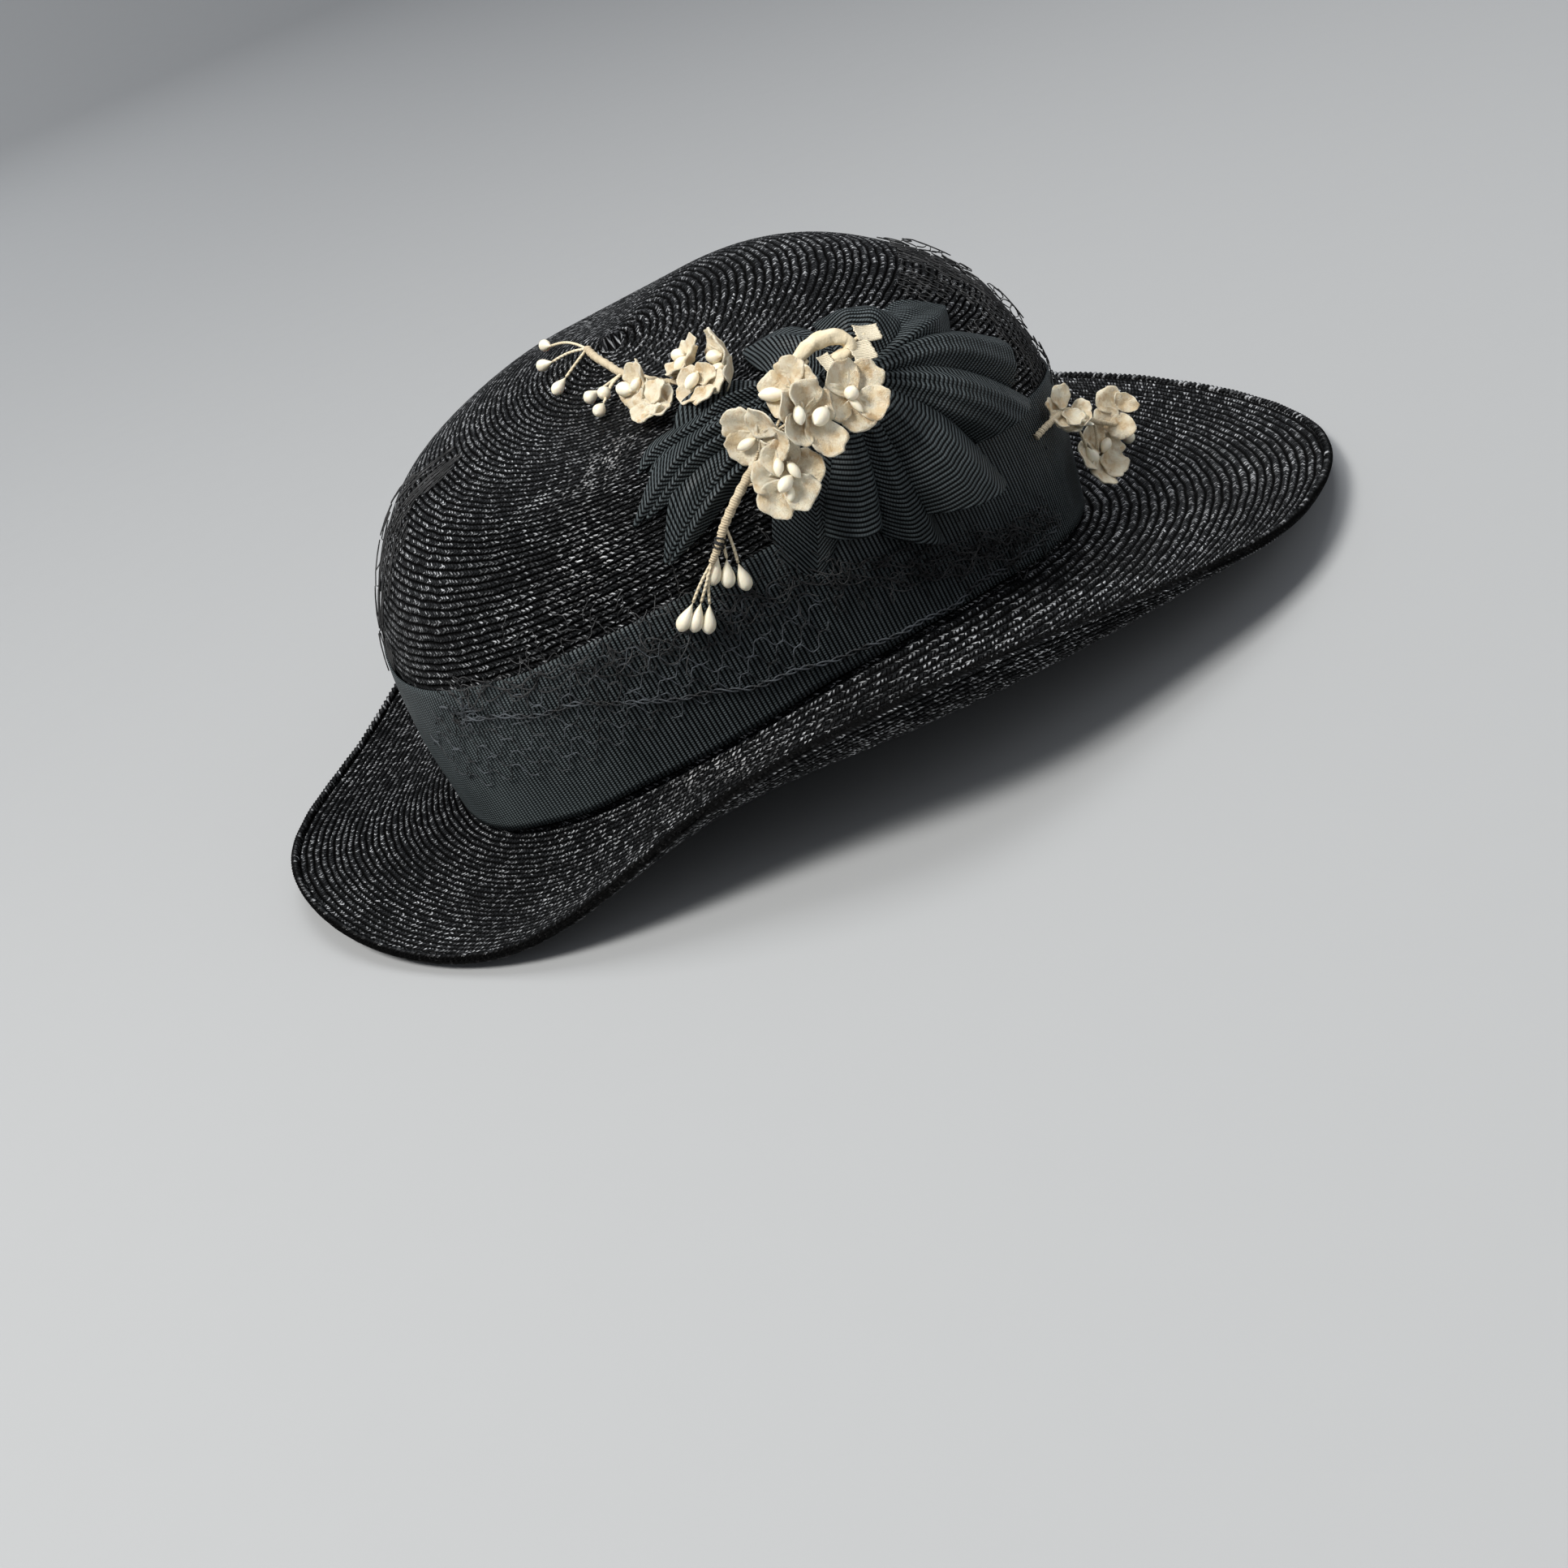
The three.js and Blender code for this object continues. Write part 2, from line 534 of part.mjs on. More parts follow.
const materials = {
  straw: new THREE.MeshStandardMaterial({ color: 0x17181a, roughness: 0.35, metalness: 0 }),
  grosgrain: new THREE.MeshStandardMaterial({ color: 0x14181a, roughness: 0.7, metalness: 0 }),
  velvet: new THREE.MeshStandardMaterial({ color: 0xe8dcc0, roughness: 0.9, metalness: 0 }),
  bud: new THREE.MeshStandardMaterial({ color: 0xeee4cc, roughness: 0.4, metalness: 0 }),
  tape: new THREE.MeshStandardMaterial({ color: 0xdccdaa, roughness: 0.8, metalness: 0 }),
  net: new THREE.MeshStandardMaterial({ color: 0x131314, roughness: 0.8, metalness: 0 }),
};

/** Buds, flowers and taped stem of one spray. Every wire ends just short of what it carries. */
function sprayMeshes({ name, thick, stem, buds, flowers }) {
  const line = stem.map((spot) => overCrown(spot, spot.lift));
  const tubes = [tubeBody(new THREE.CatmullRomCurve3(line), thick, 3 * (line.length - 1))];
  const meshes = [];
  const wireTo = (spot, end, direction, gap) => {
    const stop = end.clone().addScaledVector(direction, -gap);
    tubes.push(tubeBody(new THREE.LineCurve3(line[spot.leaves], stop), WIRE, 1));
  };
  buds.forEach((spot, i) => {
    const middle = overCrown(spot, spot.lift);
    const direction = middle.clone().sub(line[spot.leaves]).normalize();
    const start = middle.clone().addScaledVector(direction, -BUD.length / 2);
    wireTo(spot, start, direction, GAP);
    meshes.push(standing(`${name}_bud_${i + 1}`, dropBody(BUD), materials.bud, start, direction));
  });
  flowers.forEach((spot, i) => {
    const middle = overCrown(spot, spot.lift);
    const direction = facing(spot);
    wireTo(spot, middle, direction, GAP + WIRE / 2);
    meshes.push(standing(`${name}_flower_${i + 1}`, dishBody(spot), materials.velvet, middle, direction));
    if (spot.stamen) {
      const top = middle.clone().addScaledVector(direction, PETAL + GAP);
      meshes.push(standing(`${name}_stamen_${i + 1}`, dropBody(STAMEN), materials.bud, top, direction));
    }
  });
  meshes.push(named(`${name}_stem`, joined(tubes), materials.tape));
  return meshes;
}

/** The taped stems of the middle spray, bent back over the flowers in a loop. */
function tapeLoopBody() {
  const line = TAPE_LOOP.map((spot) => overCrown(spot, spot.lift));
  return tubeBody(new THREE.CatmullRomCurve3(line), TAPE_LOOP_THICK, 12);
}

// ---- Assembly -------------------------------------------------------------------------------------------
const hat = new THREE.Group();
hat.add(
  named("crown", crownBody(), materials.straw),
  named("brim", brimBody(), materials.straw),
  named("rim_wire", edgeWireBody(), materials.straw),
  named("ribbon_band", bandBody(), materials.grosgrain),
  standing("bow_knot", knotBody(), materials.grosgrain, overCrown(BOW_KNOT, 0), facing(BOW_KNOT)),
  ...BOW_FOLDS.map((row) => named(row.name, foldBody(row), materials.grosgrain)),
  ...BOW_LOOPS.map((row) => named(row.name, loopBody(row), materials.grosgrain)),
  ...SPRAYS.flatMap(sprayMeshes),
  named("spray_mid_tape", tapeLoopBody(), materials.tape),
  ...VEILS.map((row) => named(row.name, veilBody(row), materials.net)),
);

// Lean the hat as it rests, then bring its lowest point to the origin under the middle of its box.
hat.rotation.x = THREE.MathUtils.degToRad(REST_PITCH);
hat.updateMatrixWorld(true);
const box = new THREE.Box3().setFromObject(hat, true);
const middle = box.getCenter(new THREE.Vector3());
hat.position.set(-middle.x, -middle.y, -box.min.z);

const tiltHat = new THREE.Group();
tiltHat.add(hat);

export default tiltHat;
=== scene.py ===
"""Looks of a tilt hat: sewn braid, a grosgrain band and bow, velvet flower sprays and the rest of a veil."""

import logging
import math
from collections.abc import Callable
from dataclasses import dataclass, field, replace
from enum import Enum

import bpy
import numpy as np
from mathutils import Matrix, Vector


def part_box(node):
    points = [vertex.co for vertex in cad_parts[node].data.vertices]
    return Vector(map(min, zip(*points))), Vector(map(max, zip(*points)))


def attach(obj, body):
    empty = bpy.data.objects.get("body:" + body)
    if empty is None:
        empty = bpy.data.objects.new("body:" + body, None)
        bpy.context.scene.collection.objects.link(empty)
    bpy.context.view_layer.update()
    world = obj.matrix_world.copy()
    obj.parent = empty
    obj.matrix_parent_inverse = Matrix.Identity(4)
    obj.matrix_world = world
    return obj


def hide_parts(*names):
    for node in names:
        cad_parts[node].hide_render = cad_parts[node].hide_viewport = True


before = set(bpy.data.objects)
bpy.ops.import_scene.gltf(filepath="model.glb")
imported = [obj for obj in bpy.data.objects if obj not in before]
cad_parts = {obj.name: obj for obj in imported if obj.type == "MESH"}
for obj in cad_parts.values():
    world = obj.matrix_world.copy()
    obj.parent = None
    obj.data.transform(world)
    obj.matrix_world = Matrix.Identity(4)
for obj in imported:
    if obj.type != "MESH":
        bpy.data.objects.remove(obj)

Array = np.ndarray
Value = object  # a number, a colour or a socket
TURN = 2 * math.pi
NEAR = 0.004  # how far to either side a slope is measured, in levels or radians
log = logging.getLogger("tilt_hat")


# ---- Curves and directions -------------------------------------------------------------------------------
def through(values: Array, place: Array, mirrored: bool = False) -> Array:
    """Smooth curve through evenly spaced values: a cubic in each gap, with slopes from its neighbours.

    Args:
        values: The values, one for each knot, or one row of numbers for each knot.
        place: Where to read the curve, from 0 at the first knot to 1 at the last.
        mirrored: Whether the curve is level at both ends.

    Returns:
        The curve at each place.
    """
    knots = np.asarray(values, float)
    last = len(knots) - 1
    spot = np.clip(place, 0, 1) * last
    i = np.minimum(np.floor(spot).astype(int), last - 1)
    f = spot - i
    first = knots[1] if mirrored else 2 * knots[0] - knots[1]
    final = knots[last - 1] if mirrored else 2 * knots[last] - knots[last - 1]
    around = np.concatenate([first[None], knots, final[None]])
    a, b, c, d = (around[i + k] for k in range(4))
    f = f.reshape(f.shape + (1,) * (knots.ndim - 1))
    return b + 0.5 * f * (c - a + f * (2 * a - 5 * b + 4 * c - d + f * (3 * (b - c) + d - a)))


def unit(vectors: Array) -> Array:
    """Vectors cut or stretched to length one."""
    return vectors / np.maximum(np.linalg.norm(vectors, axis=-1, keepdims=True), 1e-12)


def ease(x: Array) -> Array:
    """Smooth step from 0 to 1: three x squared less two x cubed, held level outside."""
    x = np.clip(x, 0, 1)
    return x * x * (3 - 2 * x)


def run_length(points: Array, axis: int = 0) -> Array:
    """Distance run along an axis of a grid of points, from 0 at its start."""
    steps = np.linalg.norm(np.diff(points, axis=axis), axis=-1)
    return np.concatenate([np.zeros_like(np.take(steps, [0], axis=axis)), np.cumsum(steps, axis=axis)],
                          axis=axis)


def waves(rng: np.random.Generator, angle: Array, row: Array, counts: tuple[int, ...], drift: float) -> Array:
    """Even unevenness round a ring: a sum of sine waves of the angle, whose phases drift from row to row.

    Args:
        rng: Source of the phases.
        angle: Angle round the ring.
        row: Number of the row, which need not be whole.
        counts: How many waves go round the ring, for each sine.
        drift: How fast the phases turn from one row to the next.

    Returns:
        Values of about -1 to 1.
    """
    total = np.zeros(np.broadcast(angle, row).shape)
    for count in counts:
        phase, speed = rng.uniform(0, TURN), rng.uniform(-drift, drift)
        total = total + np.sin(count * angle + phase + speed * row)
    return total / math.sqrt(len(counts))


# ---- Form of the hat -------------------------------------------------------------------------------------
@dataclass(frozen=True)
class HatForm:
    """The crown's outer face and the brim's middle, in millimetres, before the hat leans to rest.

    The front is toward -Y and the trimmed side toward +X. A level runs from 0 at the tip to 1 at the foot,
    evenly along the braid. An angle is 0 at the trimmed side and a quarter turn at the back.
    """

    front: tuple[float, ...] = (0, 22, 46, 71, 90, 97, 98)
    front_up: tuple[float, ...] = (105, 99, 95, 86, 61, 31, 0)
    back: tuple[float, ...] = (0, 32, 65, 91, 102, 102, 98)
    back_up: tuple[float, ...] = (105, 110, 102, 81, 55, 28, 0)
    side: tuple[float, ...] = (0, 31, 54, 67, 74, 77, 78)
    side_up: tuple[float, ...] = (105, 101, 97, 88, 71, 46, 18)
    brim_width: tuple[float, ...] = (78, 65, 51, 52, 43, 48, 53)
    brim_rise: tuple[float, ...] = (-14.5, 0.6, 21, 34, 26, 2, 8)
    brim_sag: tuple[float, ...] = (5, 5, 7.5, 5.5, 4, 11, 1)
    brim_carry: tuple[float, ...] = (0.45, 0.65, 1.05, 0.95, 0.7, 0.45, 0.5)
    roundness: float = 2.15
    tip_core: float = 2.0
    tip_left: float = 12.0
    tip_back: float = -9.0
    tip_lean: float = 2.0
    gap: float = 0.3
    wall: float = 1.6

    def crown(self, level: Array, angle: Array) -> Array:
        """Points of the crown's outer face.

        The radius is that of a rounded oval, the sum of the powers of x over the half width and y over the
        half length being one. The height blends the side's and the end's by the square of y over the length.

        Args:
            level: Levels from the tip to the foot.
            angle: Angles in radians.

        Returns:
            Points with the shape of the two together.
        """
        level, angle = np.broadcast_arrays(np.asarray(level, float), np.asarray(angle, float))
        c, s = np.cos(angle), np.sin(angle)
        rear = s > 0
        length = np.where(rear, through(self.back, level), through(self.front, level)) + self.tip_core
        width = through(self.side, level) + 0.01
        power = self.roundness
        radius = (np.abs(c / width) ** power + np.abs(s / length) ** power) ** (-1 / power)
        x, y = radius * c, radius * s
        lengthwise = (y / length) ** 2
        up_long = np.where(rear, through(self.back_up, level), through(self.front_up, level))
        fade = 1 - level**2
        up = up_long * lengthwise + through(self.side_up,
                                            level) * (1 - lengthwise) - self.tip_lean * fade * x / width
        return np.stack([x + self.tip_left * fade, y + self.tip_back * fade, up], -1)

    def crown_out(self, level: Array, angle: Array) -> Array:
        """Directions out of the crown: across the slope down it and the slope round it."""
        level, angle = np.broadcast_arrays(np.asarray(level, float), np.asarray(angle, float))
        down = self.crown(np.minimum(level + NEAR, 1), angle) - self.crown(np.maximum(level - NEAR, 0), angle)
        around = self.crown(level, angle + NEAR) - self.crown(level, angle - NEAR)
        return unit(np.cross(down, around))

    def crown_at(self, level: Array, angle: Array, lift: Array) -> Array:
        """Points of the crown's outer face, moved out by the lift."""
        return self.crown(level, angle) + self.crown_out(level, angle) * np.asarray(lift, float)[..., None]

    def brim(self, span: Array, angle: Array) -> Array:
        """Points of the middle of the brim's wall.

        Each section is a curve of three weights, those of its start at the crown's foot, its sagging middle
        and its edge, run out from the foot squarely to the crown's outline.

        Args:
            span: Part of the way from the crown's foot to the edge.
            angle: Angles in radians.

        Returns:
            Points with the shape of the two together.
        """
        span, angle = np.broadcast_arrays(np.asarray(span, float), np.asarray(angle, float))
        place = np.arccos(np.clip(np.sin(angle), -1, 1)) / math.pi
        tables = (self.brim_width, self.brim_rise, self.brim_sag, self.brim_carry)
        width, rise, sag, carry = (through(table, place, True) for table in tables)
        one = np.ones_like(angle)
        foot = self.crown(one, angle)
        around = self.crown(one, angle + NEAR) - self.crown(one, angle - NEAR)
        out = unit(np.stack([around[..., 1], -around[..., 0], np.zeros_like(angle)], -1))
        start, middle, end = (1 - span) ** 2, 2 * span * (1 - span), span**2
        reach = self.gap + middle * carry * width + end * width
        up = start * foot[..., 2] + middle * (foot[..., 2] - sag) + end * rise
        return np.stack([foot[..., 0] + out[..., 0] * reach, foot[..., 1] + out[..., 1] * reach, up], -1)

    def brim_up(self, span: Array, angle: Array) -> Array:
        """Directions up out of the brim's upper face."""
        along = self.brim(np.minimum(span + NEAR, 1), angle) - self.brim(np.maximum(span - NEAR, 0), angle)
        around = self.brim(span, angle + NEAR) - self.brim(span, angle - NEAR)
        return unit(np.cross(along, around))

    def brim_at(self, span: Array, angle: Array, lift: Array) -> Array:
        """Points of the brim's middle, moved up by the lift."""
        return self.brim(span, angle) + self.brim_up(span, angle) * np.asarray(lift, float)[..., None]


class RestFrame:
    """Turns points of the upright hat, in millimetres, into the place where it rests, in metres."""

    def __init__(self, form: HatForm, pitch: float = 2.52) -> None:
        """Lean the hat forward and set its crown where the frame holds it.

        Args:
            form: The hat's form.
            pitch: Degrees that the hat leans toward its front.
        """
        angles = np.linspace(0, TURN, 48, endpoint=False)
        levels = np.concatenate([np.linspace(0.05, 0.72, 10), np.linspace(0.72, 0.96, 4)[1:], [1]])
        c, s = math.cos(math.radians(pitch)), math.sin(math.radians(pitch))
        self.lean = np.array([[1, 0, 0], [0, c, -s], [0, s, c]])
        own = form.crown(levels[:, None], angles[None]).reshape(-1, 3) @ self.lean.T
        low, high = (np.array(corner) * 1000 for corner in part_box("crown"))
        self.shift = (low + high - own.min(0) - own.max(0)) / 2
        self.shift[2] = high[2] - own[:, 2].max()

    def place(self, points: Array) -> Array:
        """Points in metres where the hat rests."""
        return (np.asarray(points, float) @ self.lean.T + self.shift) / 1000

    def direction(self, vectors: Array) -> Array:
        """Directions as the hat rests."""
        return np.asarray(vectors, float) @ self.lean.T


# ---- Closed bodies on grids ------------------------------------------------------------------------------
@dataclass
class Body:
    """Points with their faces, the pattern coordinates of the faces' corners, and each point's wear mask."""

    points: Array
    quads: Array
    quad_uv: Array
    tris: Array
    tri_uv: Array
    wear: Array

    def turned_out(self) -> "Body":
        """The body with its faces outward: they are turned over where its signed volume is below zero."""
        fan = np.concatenate([self.quads[:, [0, 1, 2]], self.quads[:, [0, 2, 3]], self.tris])
        a, b, c = (self.points[fan[:, k]] for k in range(3))
        if np.einsum("ij,ij->", a, np.cross(b, c)) < 0:
            self.quads, self.quad_uv = self.quads[:, ::-1], self.quad_uv[:, ::-1]
            self.tris, self.tri_uv = self.tris[:, ::-1], self.tri_uv[:, ::-1]
        return self


def joined(bodies: list[Body]) -> Body:
    """One body out of several, which stay separate shells of it."""
    starts = np.cumsum([0] + [len(body.points) for body in bodies[:-1]])
    return Body(
        np.concatenate([body.points for body in bodies]),
        np.concatenate([body.quads + start for body, start in zip(bodies, starts)]),
        np.concatenate([body.quad_uv for body in bodies]),
        np.concatenate([body.tris + start for body, start in zip(bodies, starts)]),
        np.concatenate([body.tri_uv for body in bodies]),
        np.concatenate([body.wear for body in bodies]),
    )


def cells(index: Array) -> Array:
    """Quads between the neighbouring rows and columns of a grid of point numbers."""
    return np.stack([index[:-1, :-1], index[:-1, 1:], index[1:, 1:], index[1:, :-1]], -1)


def cell_uv(near: Array, far: Array) -> Array:
    """Pattern coordinates of the same quads, from those along the near and far side of each row of quads."""
    return np.stack([near[:, :-1], near[:, 1:], far[:, 1:], far[:, :-1]], -2)


def slab(outer: Array, inner: Array, uv: tuple[Array, Array], inner_uv: tuple[Array, Array] | None = None, *,
         ring: bool = False, pole: bool = False, wear: Array | None = None) -> Body:
    """Thin body between two grids of points, closed by walls along its open borders.

    Args:
        outer: Rows by columns of points on one face.
        inner: The same of the other face. In a ring it may have another number of rows.
        uv: Pattern coordinates along the near and along the far side of each row of quads. A ring has one
            column more than its points.
        inner_uv: The same for the inner face, if it has its own.
        ring: Whether the last column meets the first.
        pole: Whether the first row of either face is a single place.
        wear: Mask of the outer points, which inner ones share if there are as many.

    Returns:
        The closed body.
    """
    quads, quad_uv, tris, tri_uv, grids, points, masks = [], [], [], [], [], [], []
    wear = np.zeros((1, 1)) if wear is None else wear
    for face, (near, far) in ((outer, uv), (inner, inner_uv or uv)):
        rows, columns = face.shape[:2]
        index = np.arange(rows * columns).reshape(rows, columns)
        if pole:
            index[0], face = 0, np.concatenate([np.broadcast_to(face[0].mean(0), face[:1].shape), face[1:]])
        if ring:
            index = np.concatenate([index, index[:, :1]], 1)
        index = index + sum(len(p) for p in points)
        corners, coords = cells(index), cell_uv(near, far)
        if grids:
            corners, coords = corners[..., ::-1], coords[..., ::-1, :]
        if pole:
            pick = [0, 1, 3] if grids else [0, 2, 3]
            tris.append(corners[0][:, pick])
            tri_uv.append(coords[0][:, pick])
            corners, coords = corners[1:], coords[1:]
        quads.append(corners.reshape(-1, 4))
        quad_uv.append(coords.reshape(-1, 4, 2))
        grids.append(index)
        points.append(face.reshape(-1, 3))
        masks.append(np.broadcast_to(wear if len(wear) in (1, rows) else wear[:1] * 0,
                                     (rows, columns)).ravel())
    top, under = grids
    near, far = uv

    def wall(a: Array, b: Array, edge: Array) -> None:
        """Strip between two rows of points."""
        quads.append(np.stack([a[1:], a[:-1], b[:-1], b[1:]], -1))
        quad_uv.append(np.stack([edge[1:], edge[:-1], edge[:-1], edge[1:]], -2))

    wall(top[-1][::-1], under[-1][::-1], far[-1][::-1])
    if not pole:
        wall(top[0], under[0], near[0])
    if not ring:
        side = np.concatenate([near[:, [0, -1]], far[-1:, [0, -1]]])
        wall(top[::-1, 0], under[::-1, 0], side[::-1, 0])
        wall(top[:, -1], under[:, -1], side[:, 1])
    no_tris, no_uv = [np.zeros((0, 3), int)], [np.zeros((0, 3, 2))]
    return Body(np.concatenate(points), np.concatenate(quads), np.concatenate(quad_uv),
                np.concatenate(tris or no_tris), np.concatenate(tri_uv or no_uv),
                np.concatenate(masks)).turned_out()


def plain_uv(u: Array, v: Array) -> Array:
    """Pattern coordinates from u and v spread over one grid."""
    u, v = np.broadcast_arrays(u, v)
    return np.stack([u, v], -1)


def rows_uv(u: Array, v: Array) -> tuple[Array, Array]:
    """Pattern coordinates of a grid, along the near and along the far side of each row of quads."""
    uv = plain_uv(u, v)
    return uv[:-1], uv[1:]


def tubes(paths: Array, ups: Array, radii: Array, sides: int, wear: Array | None = None) -> Body:
    """Round tubes along several paths at once, drawn to a point at both ends.

    A ring's point is the path's, plus the radius times the cosine of its turn to the side and times the sine
    of its turn upward, both square to the path.

    Args:
        paths: Paths by steps of points.
        ups: A direction at each step that doesn't lie along the path.
        radii: Radius of each path at each step, or of each side as well.
        sides: Corners round a tube.
        wear: Mask of each step.

    Returns:
        The closed tubes, whose pattern coordinates are the turn and the length run, in millimetres.
    """
    count, steps = paths.shape[:2]
    ahead = unit(np.gradient(paths, axis=1))
    side = unit(np.cross(ahead, ups))
    up = np.cross(side, ahead)
    around = np.arange(sides) * TURN / sides
    radii = np.broadcast_to(radii if np.ndim(radii) == 3 else np.asarray(radii, float)[..., None],
                            (count, steps, sides))
    spoke = side[:, :, None] * np.cos(around)[:, None] + up[:, :, None] * np.sin(around)[:, None]
    rings = paths[:, :, None] + spoke * radii[..., None]
    index = np.arange(count * steps * sides).reshape(count, steps, sides)
    index = np.concatenate([index, index[..., :1]], -1)
    quads = np.stack([index[:, :-1, :-1], index[:, 1:, :-1], index[:, 1:, 1:], index[:, :-1, 1:]], -1)
    turn = np.arange(sides + 1) / sides
    run = run_length(paths, 1)
    uv = plain_uv(turn, run[..., None])
    quad_uv = np.stack([uv[:, :-1, :-1], uv[:, 1:, :-1], uv[:, 1:, 1:], uv[:, :-1, 1:]], -2)
    first = count * steps * sides + np.arange(count)[:, None]
    ends = [(first, index[:, 0, :-1], index[:, 0, 1:], uv[:, 0]),
            (first + count, index[:, -1, 1:], index[:, -1, :-1], uv[:, -1, ::-1])]
    tris = [np.stack(np.broadcast_arrays(tip, a, b), -1).reshape(-1, 3) for tip, a, b, _ in ends]
    tri_uv = [np.stack([line[:, :-1], line[:, :-1], line[:, 1:]], -2).reshape(-1, 3, 2) for *_, line in ends]
    wear = np.zeros((count, steps)) if wear is None else np.broadcast_to(wear, (count, steps))
    ring_wear = np.repeat(wear.ravel(), sides)
    points = np.concatenate([rings.reshape(-1, 3), paths[:, 0], paths[:, -1]])
    return Body(points, quads.reshape(-1, 4), quad_uv.reshape(-1, 4, 2), np.concatenate(tris),
                np.concatenate(tri_uv),
                np.concatenate([ring_wear, wear[:, 0], wear[:, -1]])).turned_out()


# ---- Node trees ------------------------------------------------------------------------------------------
class Graph:
    """Lays out one node tree; each call adds a node."""

    def __init__(self, tree: bpy.types.NodeTree) -> None:
        """Work in a node tree."""
        self.tree = tree

    def add(self, kind: str, sockets: dict[str | int, Value] | None = None,
            **settings: Value) -> bpy.types.Node:
        """Add a node.

        Args:
            kind: Blender's name for the node.
            sockets: Values to set or outputs to join, by the input's name or number.
            settings: Properties of the node.

        Returns:
            The new node.
        """
        node = self.tree.nodes.new(kind)
        for key, value in settings.items():
            setattr(node, key, value)
        for key, value in (sockets or {}).items():
            if isinstance(value, bpy.types.NodeSocket):
                self.tree.links.new(value, node.inputs[key])
            else:
                node.inputs[key].default_value = value
        return node

    def math(self, operation: str, *values: Value) -> bpy.types.NodeSocket:
        """Output of one step of arithmetic."""
        return self.add("ShaderNodeMath", dict(enumerate(values)), operation=operation).outputs[0]

    def span(self, value: Value, low: float, high: float, start: float = 0.0,
             end: float = 1.0) -> bpy.types.NodeSocket:
        """Value taken from one range to another and held there, with soft ends."""
        sockets = {"Value": value, "From Min": low, "From Max": high, "To Min": start, "To Max": end}
        return self.add("ShaderNodeMapRange", sockets, interpolation_type="SMOOTHSTEP").outputs[0]

    def mix(self, part: Value, first: Value, second: Value) -> bpy.types.NodeSocket:
        """Colour between two colours."""
        return self.add("ShaderNodeMix", {0: part, 6: first, 7: second}, data_type="RGBA").outputs[2]

    def noise(self, place: Value, scale: float, detail: float = 2.0,
              rough: float = 0.5) -> bpy.types.NodeSocket:
        """Soft noise of about 0.25 to 0.75."""
        sockets = {"Vector": place, "Scale": scale, "Detail": detail, "Roughness": rough}
        return self.add("ShaderNodeTexNoise", sockets).outputs[0]

    def chance(self, *values: Value) -> bpy.types.NodeSocket:
        """Random number of 0 to 1 that belongs to a set of up to three whole numbers."""
        place = self.add("ShaderNodeCombineXYZ", dict(enumerate(values))).outputs[0]
        return self.add("ShaderNodeTexWhiteNoise", {"Vector": place}).outputs[0]

    def bump(self, height: Value, distance: float, strength: float = 1.0,
             normal: Value | None = None) -> bpy.types.NodeSocket:
        """Normal for a height, whose full step is a distance in metres."""
        sockets = {"Height": height, "Distance": distance, "Strength": strength}
        return self.add("ShaderNodeBump", sockets | ({} if normal is None else {"Normal": normal})).outputs[0]

    def where(self) -> bpy.types.NodeSocket:
        """Object coordinates, in metres."""
        return self.add("ShaderNodeTexCoord").outputs["Object"]

    def pattern(self) -> bpy.types.NodeSocket:
        """The piece's own pattern coordinates."""
        return self.add("ShaderNodeUVMap", uv_map="pattern").outputs[0]

    def wear(self) -> bpy.types.NodeSocket:
        """The piece's own wear mask; on the band it marks the front that is painted paler, as painted light.
        """
        return self.add("ShaderNodeAttribute", attribute_name="wear").outputs["Fac"]


Wiring = Callable[[Graph, dict[str, bpy.types.NodeSocket]], dict[str, bpy.types.NodeSocket]]


class Effect:
    """A shader effect that several materials share: one node group, built when it is first placed."""

    KINDS = {"vector": "NodeSocketVector", "value": "NodeSocketFloat"}

    def __init__(self, name: str, takes: dict[str, str], gives: dict[str, str], wiring: Wiring) -> None:
        """Name the effect and its sockets.

        Args:
            name: Name of the node group.
            takes: Kind of each input.
            gives: Kind of each output.
            wiring: Function that lays the nodes and returns the outputs.
        """
        self.name, self.takes, self.gives, self.wiring = name, takes, gives, wiring
        self.tree: bpy.types.NodeTree | None = None

    def build(self) -> bpy.types.NodeTree:
        """Make the node group."""
        tree = bpy.data.node_groups.new(self.name, "ShaderNodeTree")
        for name, kind in self.takes.items():
            tree.interface.new_socket(name, in_out="INPUT", socket_type=self.KINDS[kind])
        for name, kind in self.gives.items():
            tree.interface.new_socket(name, in_out="OUTPUT", socket_type=self.KINDS[kind])
        graph = Graph(tree)
        inside = tree.nodes.new("NodeGroupInput").outputs
        graph.add("NodeGroupOutput", self.wiring(graph, {name: inside[name] for name in self.takes}))
        return tree

    def place(self, graph: Graph, **sockets: Value) -> dict[str, bpy.types.NodeSocket]:
        """Put the effect in a material.

        Args:
            graph: The material's node tree.
            sockets: Value of each input.

        Returns:
            The group's outputs by name.
        """
        self.tree = self.tree or self.build()
        node = graph.add("ShaderNodeGroup", node_tree=self.tree)
        for name, value in sockets.items():
            if isinstance(value, bpy.types.NodeSocket):
                graph.tree.links.new(value, node.inputs[name])
            else:
                node.inputs[name].default_value = value
        return {name: node.outputs[name] for name in self.gives}


